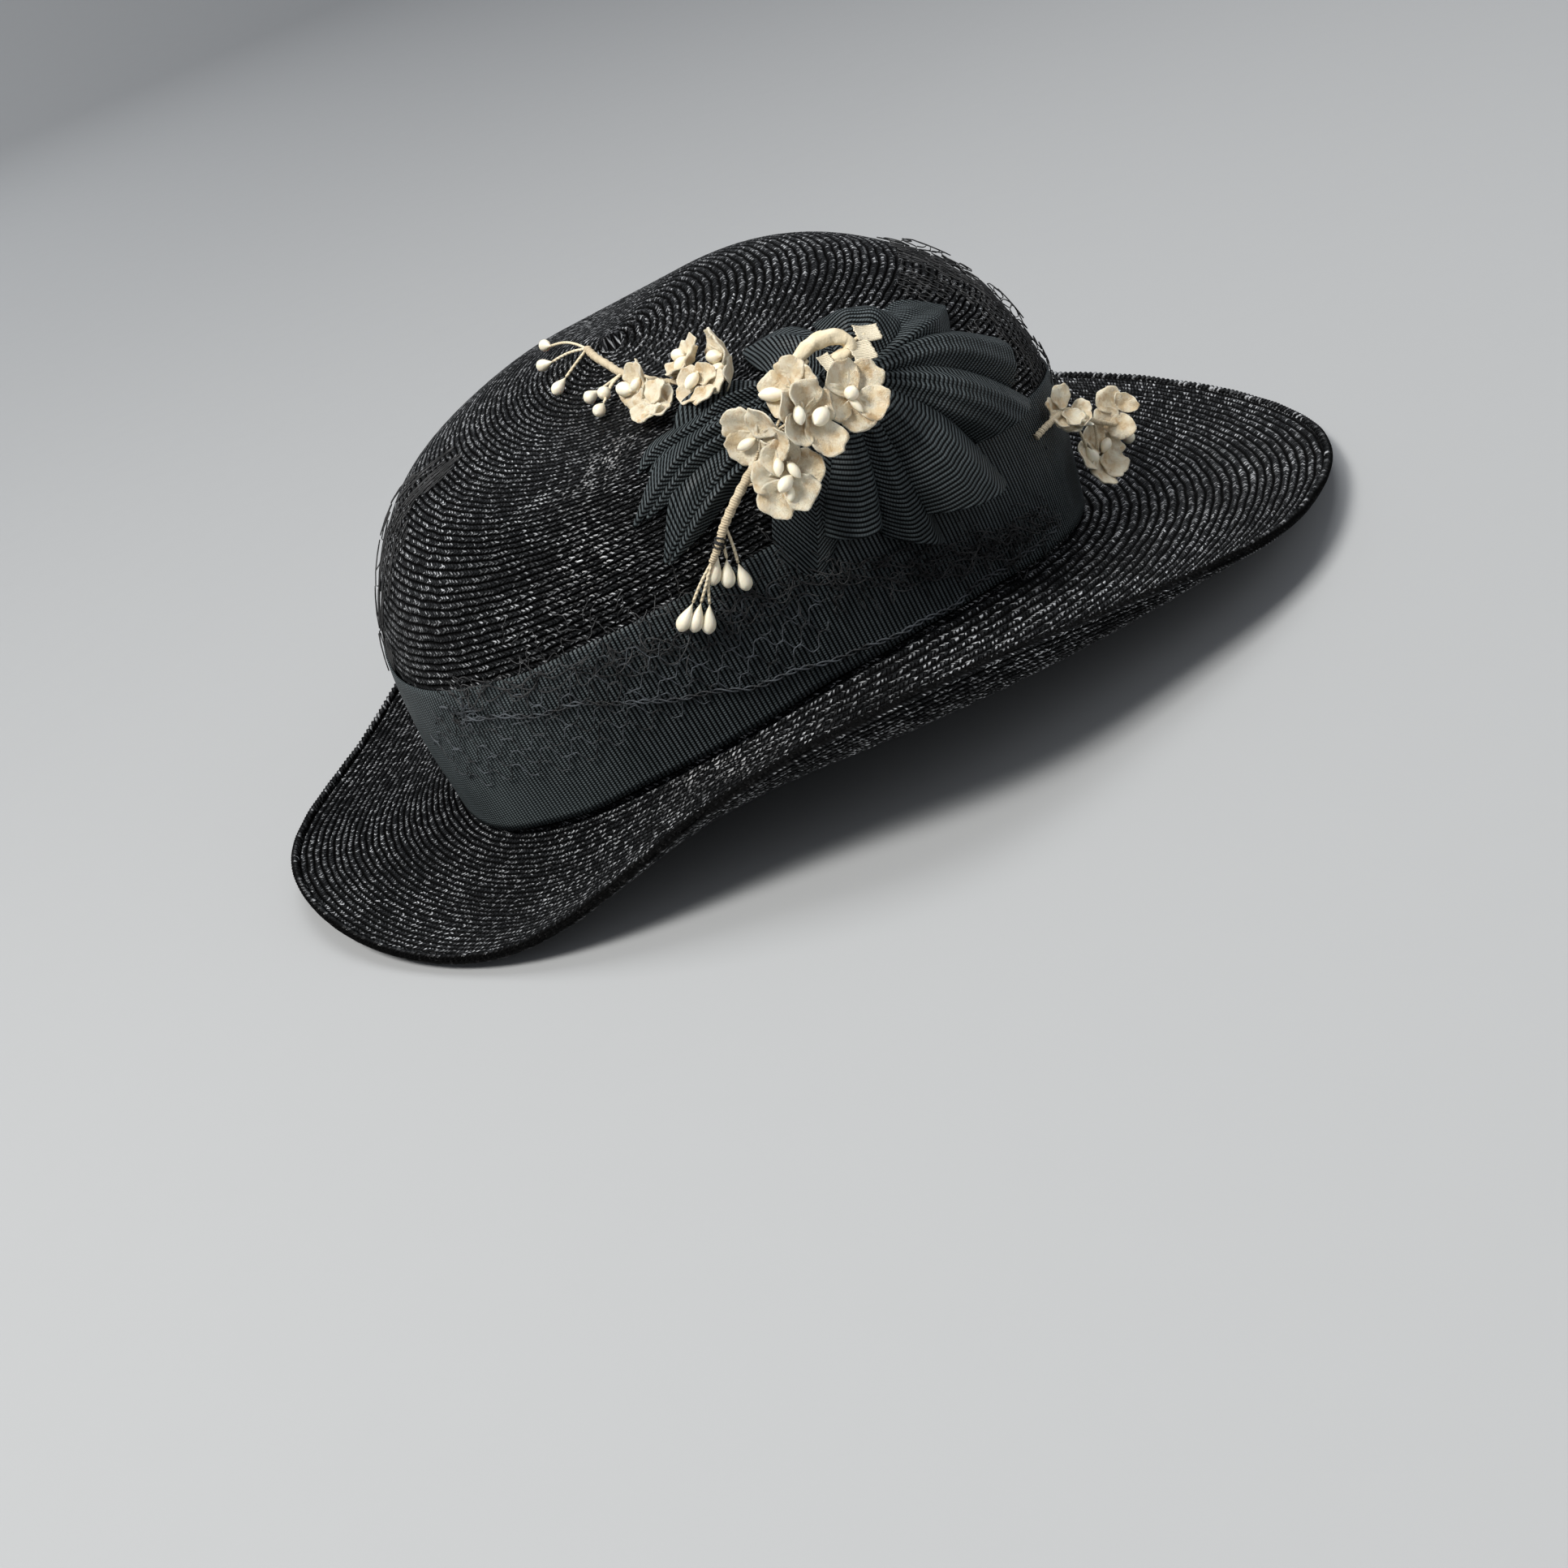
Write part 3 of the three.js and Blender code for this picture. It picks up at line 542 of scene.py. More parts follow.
def wire_plait(g: Graph, into: dict[str, bpy.types.NodeSocket]) -> dict[str, bpy.types.NodeSocket]:
    """Plaited straw. The pattern runs in plaits along a row, and in rows across.

    A strand lies between whole steps of the way along, slanted away from the row's middle to either edge and
    half a step apart on its two sides; soft noise shifts it along. Its height is the sine across it, falling
    off at the row's edges, with finer straws on it. The glint is the narrow top of the strands that shine,
    the mask of their painted highlights; the groove is the row's edges, the mask of painted shade.
    """
    split = g.add("ShaderNodeSeparateXYZ", {0: into["Pattern"]}).outputs
    row = g.math("FLOOR", split[1])
    part = g.math("SUBTRACT", split[1], row)
    side = g.math("GREATER_THAN", part, 0.55)
    off = g.math("ABSOLUTE", g.math("MULTIPLY_ADD", part, 2.0, -1.0))
    spot = g.add("ShaderNodeCombineXYZ", {0: g.math("MULTIPLY", split[0], 0.45),
                                          1: g.math("MULTIPLY", row, 5.3), 2: side})
    shift = g.math("MULTIPLY", g.noise(spot.outputs[0], 1.0, 2.0), 2.2)
    slant = g.math("MULTIPLY_ADD", off, into["Slant"], g.math("ADD", split[0], shift))
    along = g.math("ADD", slant, g.math("MULTIPLY_ADD", side, 0.5, g.chance(row, 3.0)))
    strand = g.math("FLOOR", along)
    across = g.math("SUBTRACT", along, strand)
    luck = g.chance(strand, g.math("MULTIPLY_ADD", row, 2.0, side), 7.0)
    hump = g.math("POWER", g.math("SINE", g.math("MULTIPLY", across, math.pi)), 0.8)
    fall = g.math("SUBTRACT", 1.0, g.math("POWER", off, 3.0))
    tall = g.math("MULTIPLY", g.math("MULTIPLY", hump, fall), g.math("MULTIPLY_ADD", luck, 0.5, 0.5))
    straw = g.math("MULTIPLY", g.math("SINE", g.math("MULTIPLY", across, 3 * TURN)), 0.06)
    top = g.span(g.math("MULTIPLY", hump, fall), 0.62, 0.96)
    # Glint masks where highlights are painted; Groove masks the row edges that are painted near black as
    # shade.
    return {"Height": g.math("ADD", tall, straw), "Strand": luck, "Crest": g.span(tall, 0.12, 0.7),
            "Groove": g.span(off, 0.36, 0.84), "Glint": g.math("MULTIPLY", top, g.span(luck, 0.5, 0.98))}


def wire_ribs(g: Graph, into: dict[str, bpy.types.NodeSocket]) -> dict[str, bpy.types.NodeSocket]:
    """Grosgrain. The pattern runs in millimetres along a rib and in ribs across them.

    A rib's height is the sine across it. Fine threads cross it, half a step apart on neighbouring ribs, and
    notch its crest. The crest mask leaves the valleys and the notches to painted shade.
    """
    split = g.add("ShaderNodeSeparateXYZ", {0: into["Pattern"]}).outputs
    rib = g.math("FLOOR", split[1])
    hump = g.math("POWER", g.math("SINE", g.math("MULTIPLY", g.math("SUBTRACT", split[1], rib), math.pi)),
                  0.7)
    odd = g.math("MULTIPLY", g.math("MODULO", rib, 2.0), 0.5)
    step = g.math("ADD", g.math("DIVIDE", split[0], into["Thread"]), odd)
    thread = g.math("MULTIPLY_ADD", g.math("SINE", g.math("MULTIPLY", step, TURN)), 0.5, 0.5)
    stretch = g.add("ShaderNodeCombineXYZ",
                    {0: g.math("MULTIPLY", split[0], 0.12), 1: g.math("MULTIPLY", rib, 7.3)})
    tone = g.span(g.noise(stretch.outputs[0], 1.0, 2.0), 0.3, 0.7)
    crest = g.math("MULTIPLY", g.span(hump, 0.45, 0.98), g.math("MULTIPLY_ADD", thread, 0.45, 0.55))
    return {"Height": g.math("MULTIPLY_ADD", g.math("MULTIPLY", thread, hump), 0.3, hump), "Crest": crest,
            "Tone": tone}


def wire_mottle(g: Graph, into: dict[str, bpy.types.NodeSocket]) -> dict[str, bpy.types.NodeSocket]:
    """Soft uneven patches: noise of a given scale, taken to the whole range of 0 to 1."""
    sockets = {"Vector": into["Place"], "Scale": into["Scale"], "Detail": 4.0, "Roughness": 0.55}
    return {"Patch": g.span(g.add("ShaderNodeTexNoise", sockets).outputs[0], 0.35, 0.65)}


def wire_lint(g: Graph, into: dict[str, bpy.types.NodeSocket]) -> dict[str, bpy.types.NodeSocket]:
    """Dust and lint: specks where fine noise peaks, thicker in some patches than in others."""
    fine = g.noise(into["Place"], 900.0, 3.0, 0.7)
    patch = g.span(g.noise(into["Place"], 22.0, 2.0), 0.4, 0.7)
    speck = g.span(fine, 0.6, 0.72)
    return {"Dust": g.math("MULTIPLY", g.math("MULTIPLY", speck, patch), into["Amount"])}


def wire_nap(g: Graph, into: dict[str, bpy.types.NodeSocket]) -> dict[str, bpy.types.NodeSocket]:
    """Short pile: fine noise for the tufts over coarser noise where the pile is pressed."""
    fine = g.noise(into["Place"], 2600.0, 4.0, 0.7)
    coarse = g.noise(into["Place"], 420.0, 3.0, 0.6)
    return {"Height": g.math("MULTIPLY_ADD", coarse, 0.8, fine), "Pressed": g.span(coarse, 0.38, 0.62)}


PLAIT = Effect("plaited_straw", {"Pattern": "vector", "Slant": "value"},
               {"Height": "value", "Strand": "value", "Crest": "value", "Groove": "value", "Glint": "value"},
               wire_plait)
RIBS = Effect("grosgrain_ribs", {"Pattern": "vector", "Thread": "value"},
              {"Height": "value", "Crest": "value", "Tone": "value"}, wire_ribs)
MOTTLE = Effect("soft_patches", {"Place": "vector", "Scale": "value"}, {"Patch": "value"}, wire_mottle)
LINT = Effect("lint", {"Place": "vector", "Amount": "value"}, {"Dust": "value"}, wire_lint)
NAP = Effect("pile", {"Place": "vector"}, {"Height": "value", "Pressed": "value"}, wire_nap)


# ---- Finishes --------------------------------------------------------------------------------------------
Colour = tuple[float, float, float, float]


def grey(value: float, warm: float = 0.0) -> Colour:
    """Grey of one value, a little redder and less blue where it is warm."""
    return (value * (1 + warm), value, value * (1 - warm), 1.0)


@dataclass(frozen=True)
class Finish:
    """What every finish has: a name, and the slot of the record that it belongs to."""

    name: str
    slot: str

    def material(self) -> bpy.types.Material:
        """The finish's material, made once."""
        found = bpy.data.materials.get(self.name)
        if found:
            return found
        made = bpy.data.materials.new(self.name)
        made.use_nodes = True
        made.node_tree.nodes.clear()
        graph = Graph(made.node_tree)
        graph.add("ShaderNodeOutputMaterial", {"Surface": self.shader(graph).outputs[0]})
        return made

    def shader(self, g: Graph) -> bpy.types.Node:
        """The finish's Principled shader."""
        raise NotImplementedError


@dataclass(frozen=True)
class BraidFinish(Finish):
    """Glossy black plaited straw."""

    # The strands run from base on their flanks to pale on their crests: painted shading of their relief.
    base: Colour = grey(0.006, -0.08)
    pale: Colour = grey(0.040, -0.05)
    # Painted highlight on the glints.
    glint_highlight: Colour = grey(0.9, -0.02)
    dust: Colour = grey(0.16, 0.03)
    slant: float = 0.8
    depth: float = 0.0008
    shine: float = 0.22
    specular: float = 0.05

    def shader(self, g: Graph) -> bpy.types.Node:
        """Strands of their own tone and gloss, and dust in patches. Painted light: the crests paler,
        highlights on the glints, and shade in the grooves and between the strands.
        """
        place = g.where()
        plait = PLAIT.place(g, Pattern=g.pattern(), Slant=self.slant)
        patch = MOTTLE.place(g, Place=place, Scale=38.0)["Patch"]
        dust = LINT.place(g, Place=place, Amount=0.25)["Dust"]
        tone = g.math("MULTIPLY", g.math("MULTIPLY_ADD", plait["Strand"], 0.75, 0.25),
                      g.math("MULTIPLY_ADD", patch, 0.5, 0.5))
        # Painted shading of the strands' relief: each strand, in its own random tone, is paler toward its
        # crest and darker on its flanks; then painted highlights where the glints are.
        strand = g.mix(g.math("MULTIPLY", plait["Crest"], tone), self.base, self.pale)
        strand = g.mix(g.math("MULTIPLY", plait["Glint"], g.math("MULTIPLY_ADD", patch, 0.45, 0.25)), strand,
                       self.glint_highlight)
        # Painted shade: the grooves between rows and the low places between strands go near black.
        dark = g.math("MAXIMUM", plait["Groove"], g.math("SUBTRACT", 1.0, g.span(plait["Height"], 0.06, 0.4)))
        colour = g.mix(dust, g.mix(dark, strand, grey(0.0012)), self.dust)
        rough = g.math("MULTIPLY_ADD", g.chance(plait["Strand"], 5.0), 0.25, self.shine)
        rough = g.math("MULTIPLY_ADD", dust, 0.3, g.math("MULTIPLY_ADD", dark, 0.4, rough))
        fibre = g.bump(g.noise(place, 2400.0, 2.0), 0.00012, 0.4)
        return g.add("ShaderNodeBsdfPrincipled", {
            "Base Color": colour, "Roughness": rough, "Specular IOR Level": self.specular,
            "Coat Weight": g.math("MULTIPLY", g.span(plait["Crest"], 0.35, 1.0),
                                  g.math("MULTIPLY", plait["Strand"], 0.45)),
            "Coat Roughness": 0.22,
            "Normal": g.bump(plait["Height"], self.depth, 1.0, fibre)})


@dataclass(frozen=True)
class GrosgrainFinish(Finish):
    """Black ribbed silk ribbon, paler where its mask is high: worn on the bow, painted light on the band's
    front.
    """

    crest: Colour = (0.072, 0.088, 0.091, 1.0)
    # The valley colour is painted shade between the ribs and in the notches of the threads.
    valley_shade: Colour = (0.0010, 0.0014, 0.0016, 1.0)
    pale: Colour = (0.135, 0.158, 0.165, 1.0)
    # The paler colour is wear on the bow's edges and ends, and painted light on the band's front.
    faded_and_lit: Colour = (0.104, 0.126, 0.128, 1.0)
    thread: float = 0.7
    depth: float = 0.0006
    fade_scale: float = 34.0

    def shader(self, g: Graph) -> bpy.types.Node:
        """Ribs in their own colour on their crests with painted shade between them; paler in patches where
        the mask is high, worn on the bow and painted light on the band's front; smudges and lint.
        """
        place = g.where()
        ribs = RIBS.place(g, Pattern=g.pattern(), Thread=self.thread)
        patch = MOTTLE.place(g, Place=place, Scale=self.fade_scale)["Patch"]
        dust = LINT.place(g, Place=place, Amount=0.22)["Dust"]
        # The wear mask is real wear on the bow and painted light on the band's front; both make the ribbon
        # paler and rougher.
        worn = g.math("MULTIPLY", g.wear(), g.math("MULTIPLY_ADD", patch, 0.45, 0.55))
        lit = g.mix(worn, g.mix(g.math("MULTIPLY", ribs["Tone"], 0.6), self.crest, self.pale), self.faded_and_lit)
        # Painted shade: off the crests the ribs go to the near-black valley colour.
        colour = g.mix(g.math("MULTIPLY_ADD", worn, 0.45, ribs["Crest"]), self.valley_shade, lit)
        colour = g.mix(dust, colour, grey(0.17, 0.02))
        rough = g.math("MULTIPLY_ADD", patch, 0.12, g.math("MULTIPLY_ADD", worn, 0.12, 0.52))
        return g.add("ShaderNodeBsdfPrincipled", {
            "Base Color": colour, "Roughness": rough, "Specular IOR Level": 0.08,
            "Coat Weight": g.math("MULTIPLY", ribs["Crest"], 0.25), "Coat Roughness": 0.42,
            "Normal": g.bump(ribs["Height"], self.depth)})


@dataclass(frozen=True)
class VelvetFinish(Finish):
    """Cream velvet of old artificial flowers, tan in blotches, pale along its cut edges."""

    cream: Colour = (0.81, 0.67, 0.44, 1.0)
    pale: Colour = (0.93, 0.86, 0.68, 1.0)
    tan: Colour = (0.55, 0.36, 0.17, 1.0)

    def shader(self, g: Graph) -> bpy.types.Node:
        """Pressed pile in two creams with tan blotches and pale edges."""
        place = g.where()
        nap = NAP.place(g, Place=place)
        patch = MOTTLE.place(g, Place=place, Scale=170.0)["Patch"]
        blotch = g.math("MULTIPLY", g.span(g.noise(place, 260.0, 4.0, 0.65), 0.5, 0.68), 0.6)
        colour = g.mix(nap["Pressed"], g.mix(g.math("MULTIPLY", patch, 0.5), self.cream, self.pale),
                       self.pale)
        colour = g.mix(g.math("MULTIPLY_ADD", g.math("SUBTRACT", 1.0, patch), 0.3, blotch), colour, self.tan)
        colour = g.mix(g.math("MULTIPLY", g.span(g.wear(), 0.5, 1.0), 0.75), colour, self.pale)
        return g.add("ShaderNodeBsdfPrincipled", {
            "Base Color": colour, "Roughness": g.math("MULTIPLY_ADD", patch, 0.1, 0.82),
            "Subsurface Weight": 0.08, "Subsurface Radius": (0.002, 0.0014, 0.0008), "Subsurface Scale": 0.4,
            "Sheen Weight": 0.2, "Sheen Roughness": 0.4, "Sheen Tint": (1.0, 0.93, 0.8, 1.0),
            "Specular IOR Level": 0.2, "Normal": g.bump(nap["Height"], 0.0006, 1.0)})


@dataclass(frozen=True)
class BudFinish(Finish):
    """Ivory paste buds, smooth and a little glossy."""

    ivory: Colour = (0.88, 0.82, 0.66, 1.0)
    aged: Colour = (0.62, 0.50, 0.31, 1.0)

    def shader(self, g: Graph) -> bpy.types.Node:
        """Ivory with faint ageing and a few pits."""
        place = g.where()
        patch = MOTTLE.place(g, Place=place, Scale=260.0)["Patch"]
        part = g.math("MULTIPLY_ADD", g.wear(), 0.5, g.math("MULTIPLY", patch, 0.3))
        return g.add("ShaderNodeBsdfPrincipled", {
            "Base Color": g.mix(part, self.ivory, self.aged),
            "Roughness": g.math("MULTIPLY_ADD", patch, 0.15, 0.36),
            "Subsurface Weight": 0.2, "Subsurface Radius": (0.003, 0.002, 0.001), "Subsurface Scale": 0.6,
            "Coat Weight": 0.15, "Coat Roughness": 0.3,
            "Normal": g.bump(g.noise(place, 700.0, 3.0), 0.00025, 0.5)})


@dataclass(frozen=True)
class TapeFinish(Finish):
    """Beige paper tape and thread wound round a wire."""

    pale: Colour = (0.70, 0.60, 0.42, 1.0)
    dark: Colour = (0.33, 0.23, 0.13, 1.0)
    pitch: float = 0.62

    def shader(self, g: Graph) -> bpy.types.Node:
        """Turns of thread that climb round the stem: stripes of the length run plus the turn."""
        place = g.where()
        split = g.add("ShaderNodeSeparateXYZ", {0: g.pattern()}).outputs
        climb = g.math("MULTIPLY", g.math("ADD", g.math("DIVIDE", split[1], self.pitch), split[0]), TURN)
        turns = g.math("MULTIPLY_ADD", g.math("SINE", climb), 0.5, 0.5)
        patch = MOTTLE.place(g, Place=place, Scale=190.0)["Patch"]
        shade = g.math("MULTIPLY_ADD", g.math("SUBTRACT", 1.0, turns), 0.35, g.math("MULTIPLY", patch, 0.3))
        grain = g.bump(g.noise(place, 2200.0, 3.0), 0.0002, 0.6)
        return g.add("ShaderNodeBsdfPrincipled", {
            "Base Color": g.mix(g.math("MULTIPLY_ADD", g.wear(), 0.7, shade), self.pale, self.dark),
            "Roughness": g.math("MULTIPLY_ADD", patch, 0.1, 0.75), "Specular IOR Level": 0.3,
            "Normal": g.bump(turns, 0.00025, 0.8, grain)})


@dataclass(frozen=True)
class ThreadFinish(Finish):
    """Black silk thread of the veil and the stitching."""

    # The light colour is painted highlight, laid in soft patches along the thread.
    dark: Colour = grey(0.003)
    light: Colour = grey(0.05)

    def shader(self, g: Graph) -> bpy.types.Node:
        """Twisted thread with painted highlights in soft patches."""
        place = g.where()
        tone = MOTTLE.place(g, Place=place, Scale=160.0)["Patch"]
        twist = g.add("ShaderNodeSeparateXYZ", {0: g.pattern()}).outputs
        turns = g.math("SINE", g.math("MULTIPLY", g.math("MULTIPLY_ADD", twist[1], 2.5, twist[0]), TURN))
        return g.add("ShaderNodeBsdfPrincipled", {
            "Base Color": g.mix(g.math("MULTIPLY", tone, 0.8), self.dark, self.light),
            "Roughness": g.math("MULTIPLY_ADD", tone, 0.2, 0.42), "Specular IOR Level": 0.5,
            "Normal": g.bump(turns, 0.00006, 0.6)})


@dataclass(frozen=True)
class BackdropFinish(Finish):
    """Pale matt studio paper."""

    paper: Colour = (0.355, 0.36, 0.36, 1.0)

    def shader(self, g: Graph) -> bpy.types.Node:
        """Matt paper with a faint grain."""
        grain = g.noise(g.where(), 60.0, 3.0)
        tone = g.mix(g.math("MULTIPLY", grain, 0.06), self.paper, grey(0.29))
        return g.add("ShaderNodeBsdfPrincipled", {
            "Base Color": tone, "Roughness": g.math("MULTIPLY_ADD", grain, 0.1, 0.75),
            "Specular IOR Level": 0.2})


STRAW = BraidFinish("black_plaited_straw", "straw")
BAND_RIBBON = GrosgrainFinish("band_grosgrain", "grosgrain")
BOW_RIBBON = GrosgrainFinish("bow_grosgrain", "grosgrain", depth=0.0008)
VELVET = VelvetFinish("cream_velvet", "velvet")
BUDS = BudFinish("ivory_bud", "bud")
HEARTS = BudFinish("white_bud", "bud", ivory=(0.90, 0.84, 0.68, 1.0), aged=(0.72, 0.60, 0.40, 1.0))
TAPE = TapeFinish("wound_tape", "tape")
TAPED = TapeFinish("cream_tape", "tape", pale=(0.80, 0.70, 0.50, 1.0), dark=(0.60, 0.48, 0.30, 1.0),
                   pitch=5.0)
TAB = TapeFinish("cut_tape", "tape", pale=(0.84, 0.77, 0.60, 1.0), dark=(0.60, 0.50, 0.33, 1.0), pitch=0.45)
WIRE = TapeFinish("ivory_wire", "tape", pale=(0.80, 0.71, 0.52, 1.0), dark=(0.50, 0.38, 0.22, 1.0), pitch=1.4)
NET = ThreadFinish("veil_thread", "net")
# Thread with brighter painted highlights, for the band's net and the veil's border.
HIGHLIT_NET = ThreadFinish("highlit_veil_thread", "net", dark=grey(0.006), light=grey(0.11, -0.12))
TIE = ThreadFinish("black_tie_thread", "net", light=grey(0.03))
PAPER = BackdropFinish("studio_paper", "")


# ---- Pieces ----------------------------------------------------------------------------------------------
class Workshop:
    """Turns bodies into Blender objects on the resting hat, and keeps what they need of each other."""

    def __init__(self, form: HatForm, rest: RestFrame) -> None:
        """Take the hat's form and the place where it rests."""
        self.form, self.rest = form, rest

    def piece(self, name: str, body: Body, finish: Finish, nodes: tuple[str, ...] = ()) -> bpy.types.Object:
        """Make one piece, dress it, and have it ride on the hat.

        Args:
            name: Name of the piece.
            body: Its closed shells, in millimetres on the upright hat.
            finish: Its finish.
            nodes: The frame's nodes that it stands for.

        Returns:
            The piece.
        """
        made = self.mesh(name, replace(body, points=self.rest.place(body.points)), finish)
        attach(made, "root")
        if nodes:
            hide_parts(*nodes)
        log.info("%s: %d faces, stands for %s", name, len(made.data.polygons), ", ".join(nodes) or "nothing")
        return made

    @staticmethod
    def mesh(name: str, body: Body, finish: Finish) -> bpy.types.Object:
        """Put a body into a mesh object, in metres, with its pattern coordinates and wear mask."""
        data = bpy.data.meshes.new(name)
        loops = np.concatenate([body.quads.ravel(), body.tris.ravel()]).astype(np.int32)
        starts = np.concatenate([np.arange(len(body.quads)) * 4,
                                 body.quads.size + np.arange(len(body.tris)) * 3])
        data.vertices.add(len(body.points))
        data.vertices.foreach_set("co", body.points.astype(np.float32).ravel())
        data.loops.add(len(loops))
        data.loops.foreach_set("vertex_index", loops)
        data.polygons.add(len(starts))
        data.polygons.foreach_set("loop_start", starts.astype(np.int32))
        data.polygons.foreach_set("use_smooth", np.ones(len(starts), bool))
        data.update(calc_edges=True)
        uv = np.concatenate([body.quad_uv.reshape(-1, 2), body.tri_uv.reshape(-1, 2)])
        data.uv_layers.new(name="pattern").data.foreach_set("uv", uv.astype(np.float32).ravel())
        data.attributes.new("wear", "FLOAT", "POINT").data.foreach_set("value", body.wear.astype(np.float32))
        data.materials.append(finish.material())
        data.validate()
        made = bpy.data.objects.new(name, data)
        bpy.context.scene.collection.objects.link(made)
        return made


def row_profile(samples: int, height: float) -> tuple[Array, Array]:
    """Parts and lifts of the samples across one row of braid: a low arch with a sharp groove before it.

    Args:
        samples: Samples in a row.
        height: Height of the arch over the groove.

    Returns:
        Parts of the way across the row, and lifts off its middle line.
    """
    part = np.concatenate([[0.0], np.linspace(0.2, 0.8, samples - 1)])
    return part, height * (np.sin(math.pi * part) ** 0.5 - 0.7)


@dataclass
class SewnBraid:
    """Rows of braid laid over a form, each a shallow ridge, with its plaits counted round the row."""

    rows: int
    samples: int
    columns: int
    ridge: float = 0.9
    plait: float = 1.3
    wander: float = 0.15
    seed: int = 3

    def grid(self, first: float, last: float) -> tuple[Array, Array, Array]:
        """Places and lifts of the grid of points.

        Args:
            first: Value at the first row's near edge.
            last: Value at the last row's far edge.

        Returns:
            Places across, angles round, and lifts.
        """
        part, lift = row_profile(self.samples, self.ridge)
        row = np.append((np.arange(self.rows)[:, None] + part).ravel(), self.rows)[:, None]
        lift = np.append(np.tile(lift, self.rows), lift[0])[:, None]
        angle = np.linspace(0, TURN, self.columns, endpoint=False)[None]
        rng = np.random.default_rng(self.seed)
        off = self.wander * waves(rng, angle, row, (3, 9, 22, 37, 53, 71), 1.6)
        off *= np.minimum(1, np.minimum(row, self.rows - row) / 2)
        knobs = 1 + 0.3 * waves(rng, angle, np.floor(row) * 9.0, (23, 47, 71), 1.0)
        place = first + (last - first) * (row + off) / self.rows
        return place, angle, lift * knobs

    def pattern(self, ring: Callable[[Array, Array], Array], first: float, last: float) -> tuple[Array,
            Array]:
        """Pattern coordinates: the plaits run round each row, in whole numbers, and the rows across.

        Args:
            ring: The form's points at places and angles.
            first: Value at the first row's near edge.
            last: Value at the last row's far edge.

        Returns:
            Coordinates along the near and the far side of each row of quads.
        """
        middle = first + (last - first) * (np.arange(self.rows) + 0.5) / self.rows
        run = run_length(ring(middle[:, None], np.linspace(0, TURN, self.columns + 1)[None]), 1)
        total = run[:, -1:]
        plaits = run / total * np.maximum(1, np.round(total / self.plait))
        part = row_profile(self.samples, 1)[0]
        near = np.arange(self.rows)[:, None] + part
        far = np.concatenate([near[:, 1:], np.arange(self.rows)[:, None] + 0.9999], 1)
        each = np.repeat(plaits, self.samples, 0)
        return plain_uv(each, near.reshape(-1, 1)), plain_uv(each, far.reshape(-1, 1))


@dataclass
class StrawCrown:
    """The crown: rows of braid from the tip to the foot, ridged outside and plainer within."""

    shop: Workshop
    braid: SewnBraid = field(default_factory=lambda: SewnBraid(84, 3, 270, wander=0.1))
    lining: SewnBraid = field(default_factory=lambda: SewnBraid(84, 1, 270, 0.0, wander=0.0))
    tip: float = 0.002
    flat_top: float = 0.012
    strand: float = 2.0

    def build(self) -> None:
        """Make the crown as a shell between its outer ridges and the form's own wall within."""
        form = self.shop.form
        place, angle, lift = self.braid.grid(self.tip, 1.0)
        outer = form.crown_at(place, angle, lift * ease((place - self.tip) / self.flat_top))
        place = self.lining.grid(self.tip, 1.0)[0]
        inner = form.crown_at(place, angle, np.full(place.shape, -form.wall))
        near, far = self.braid.pattern(form.crown, self.tip, 1.0)
        near[0], far[0] = self.braid_end(outer[0].mean(0),
                                         outer[:2])  # the coil starts from a braid's tucked end
        body = slab(outer, inner, (near, far), self.lining.pattern(form.crown, self.tip, 1.0), ring=True,
                    pole=True)
        self.shop.piece("crown_braid", body, STRAW, ("crown",))

    def braid_end(self, middle: Array, rings: Array) -> Array:
        """Pattern coordinates of the tip's fan: its place from above, so plaits and rows run straight on.

        Args:
            middle: The point of the fan.
            rings: The fan's inner and outer ring of points.

        Returns:
            Coordinates along the inner and the outer ring, with one column more than the points.
        """
        rings = np.concatenate([np.broadcast_to(middle, rings[:1].shape), rings[1:]])
        away = np.concatenate([rings, rings[:, :1]], 1) - middle
        return plain_uv(away[..., 0] / self.braid.plait, 0.5 + away[..., 1] / self.strand)


@dataclass
class StrawBrim:
    """The brim: rows of braid from the crown's foot to the edge, ridged on both faces."""

    shop: Workshop
    braid: SewnBraid = field(default_factory=lambda: SewnBraid(28, 4, 384, 0.8, wander=0.09, seed=5))
    upper: float = 0.7
    lower: float = -0.5

    def build(self) -> None:
        """Make the brim as a shell between its two ridged faces."""
        form = self.shop.form
        place, angle, lift = self.braid.grid(0.0, 1.0)
        place = np.clip(place, 0.0, 1.0)
        outer = form.brim_at(place, angle, self.upper + lift)
        inner = form.brim_at(place, angle, self.lower - lift)
        body = slab(outer, inner, self.braid.pattern(form.brim, 0.0, 1.0), ring=True)
        self.shop.piece("brim_braid", body, STRAW, ("brim",))


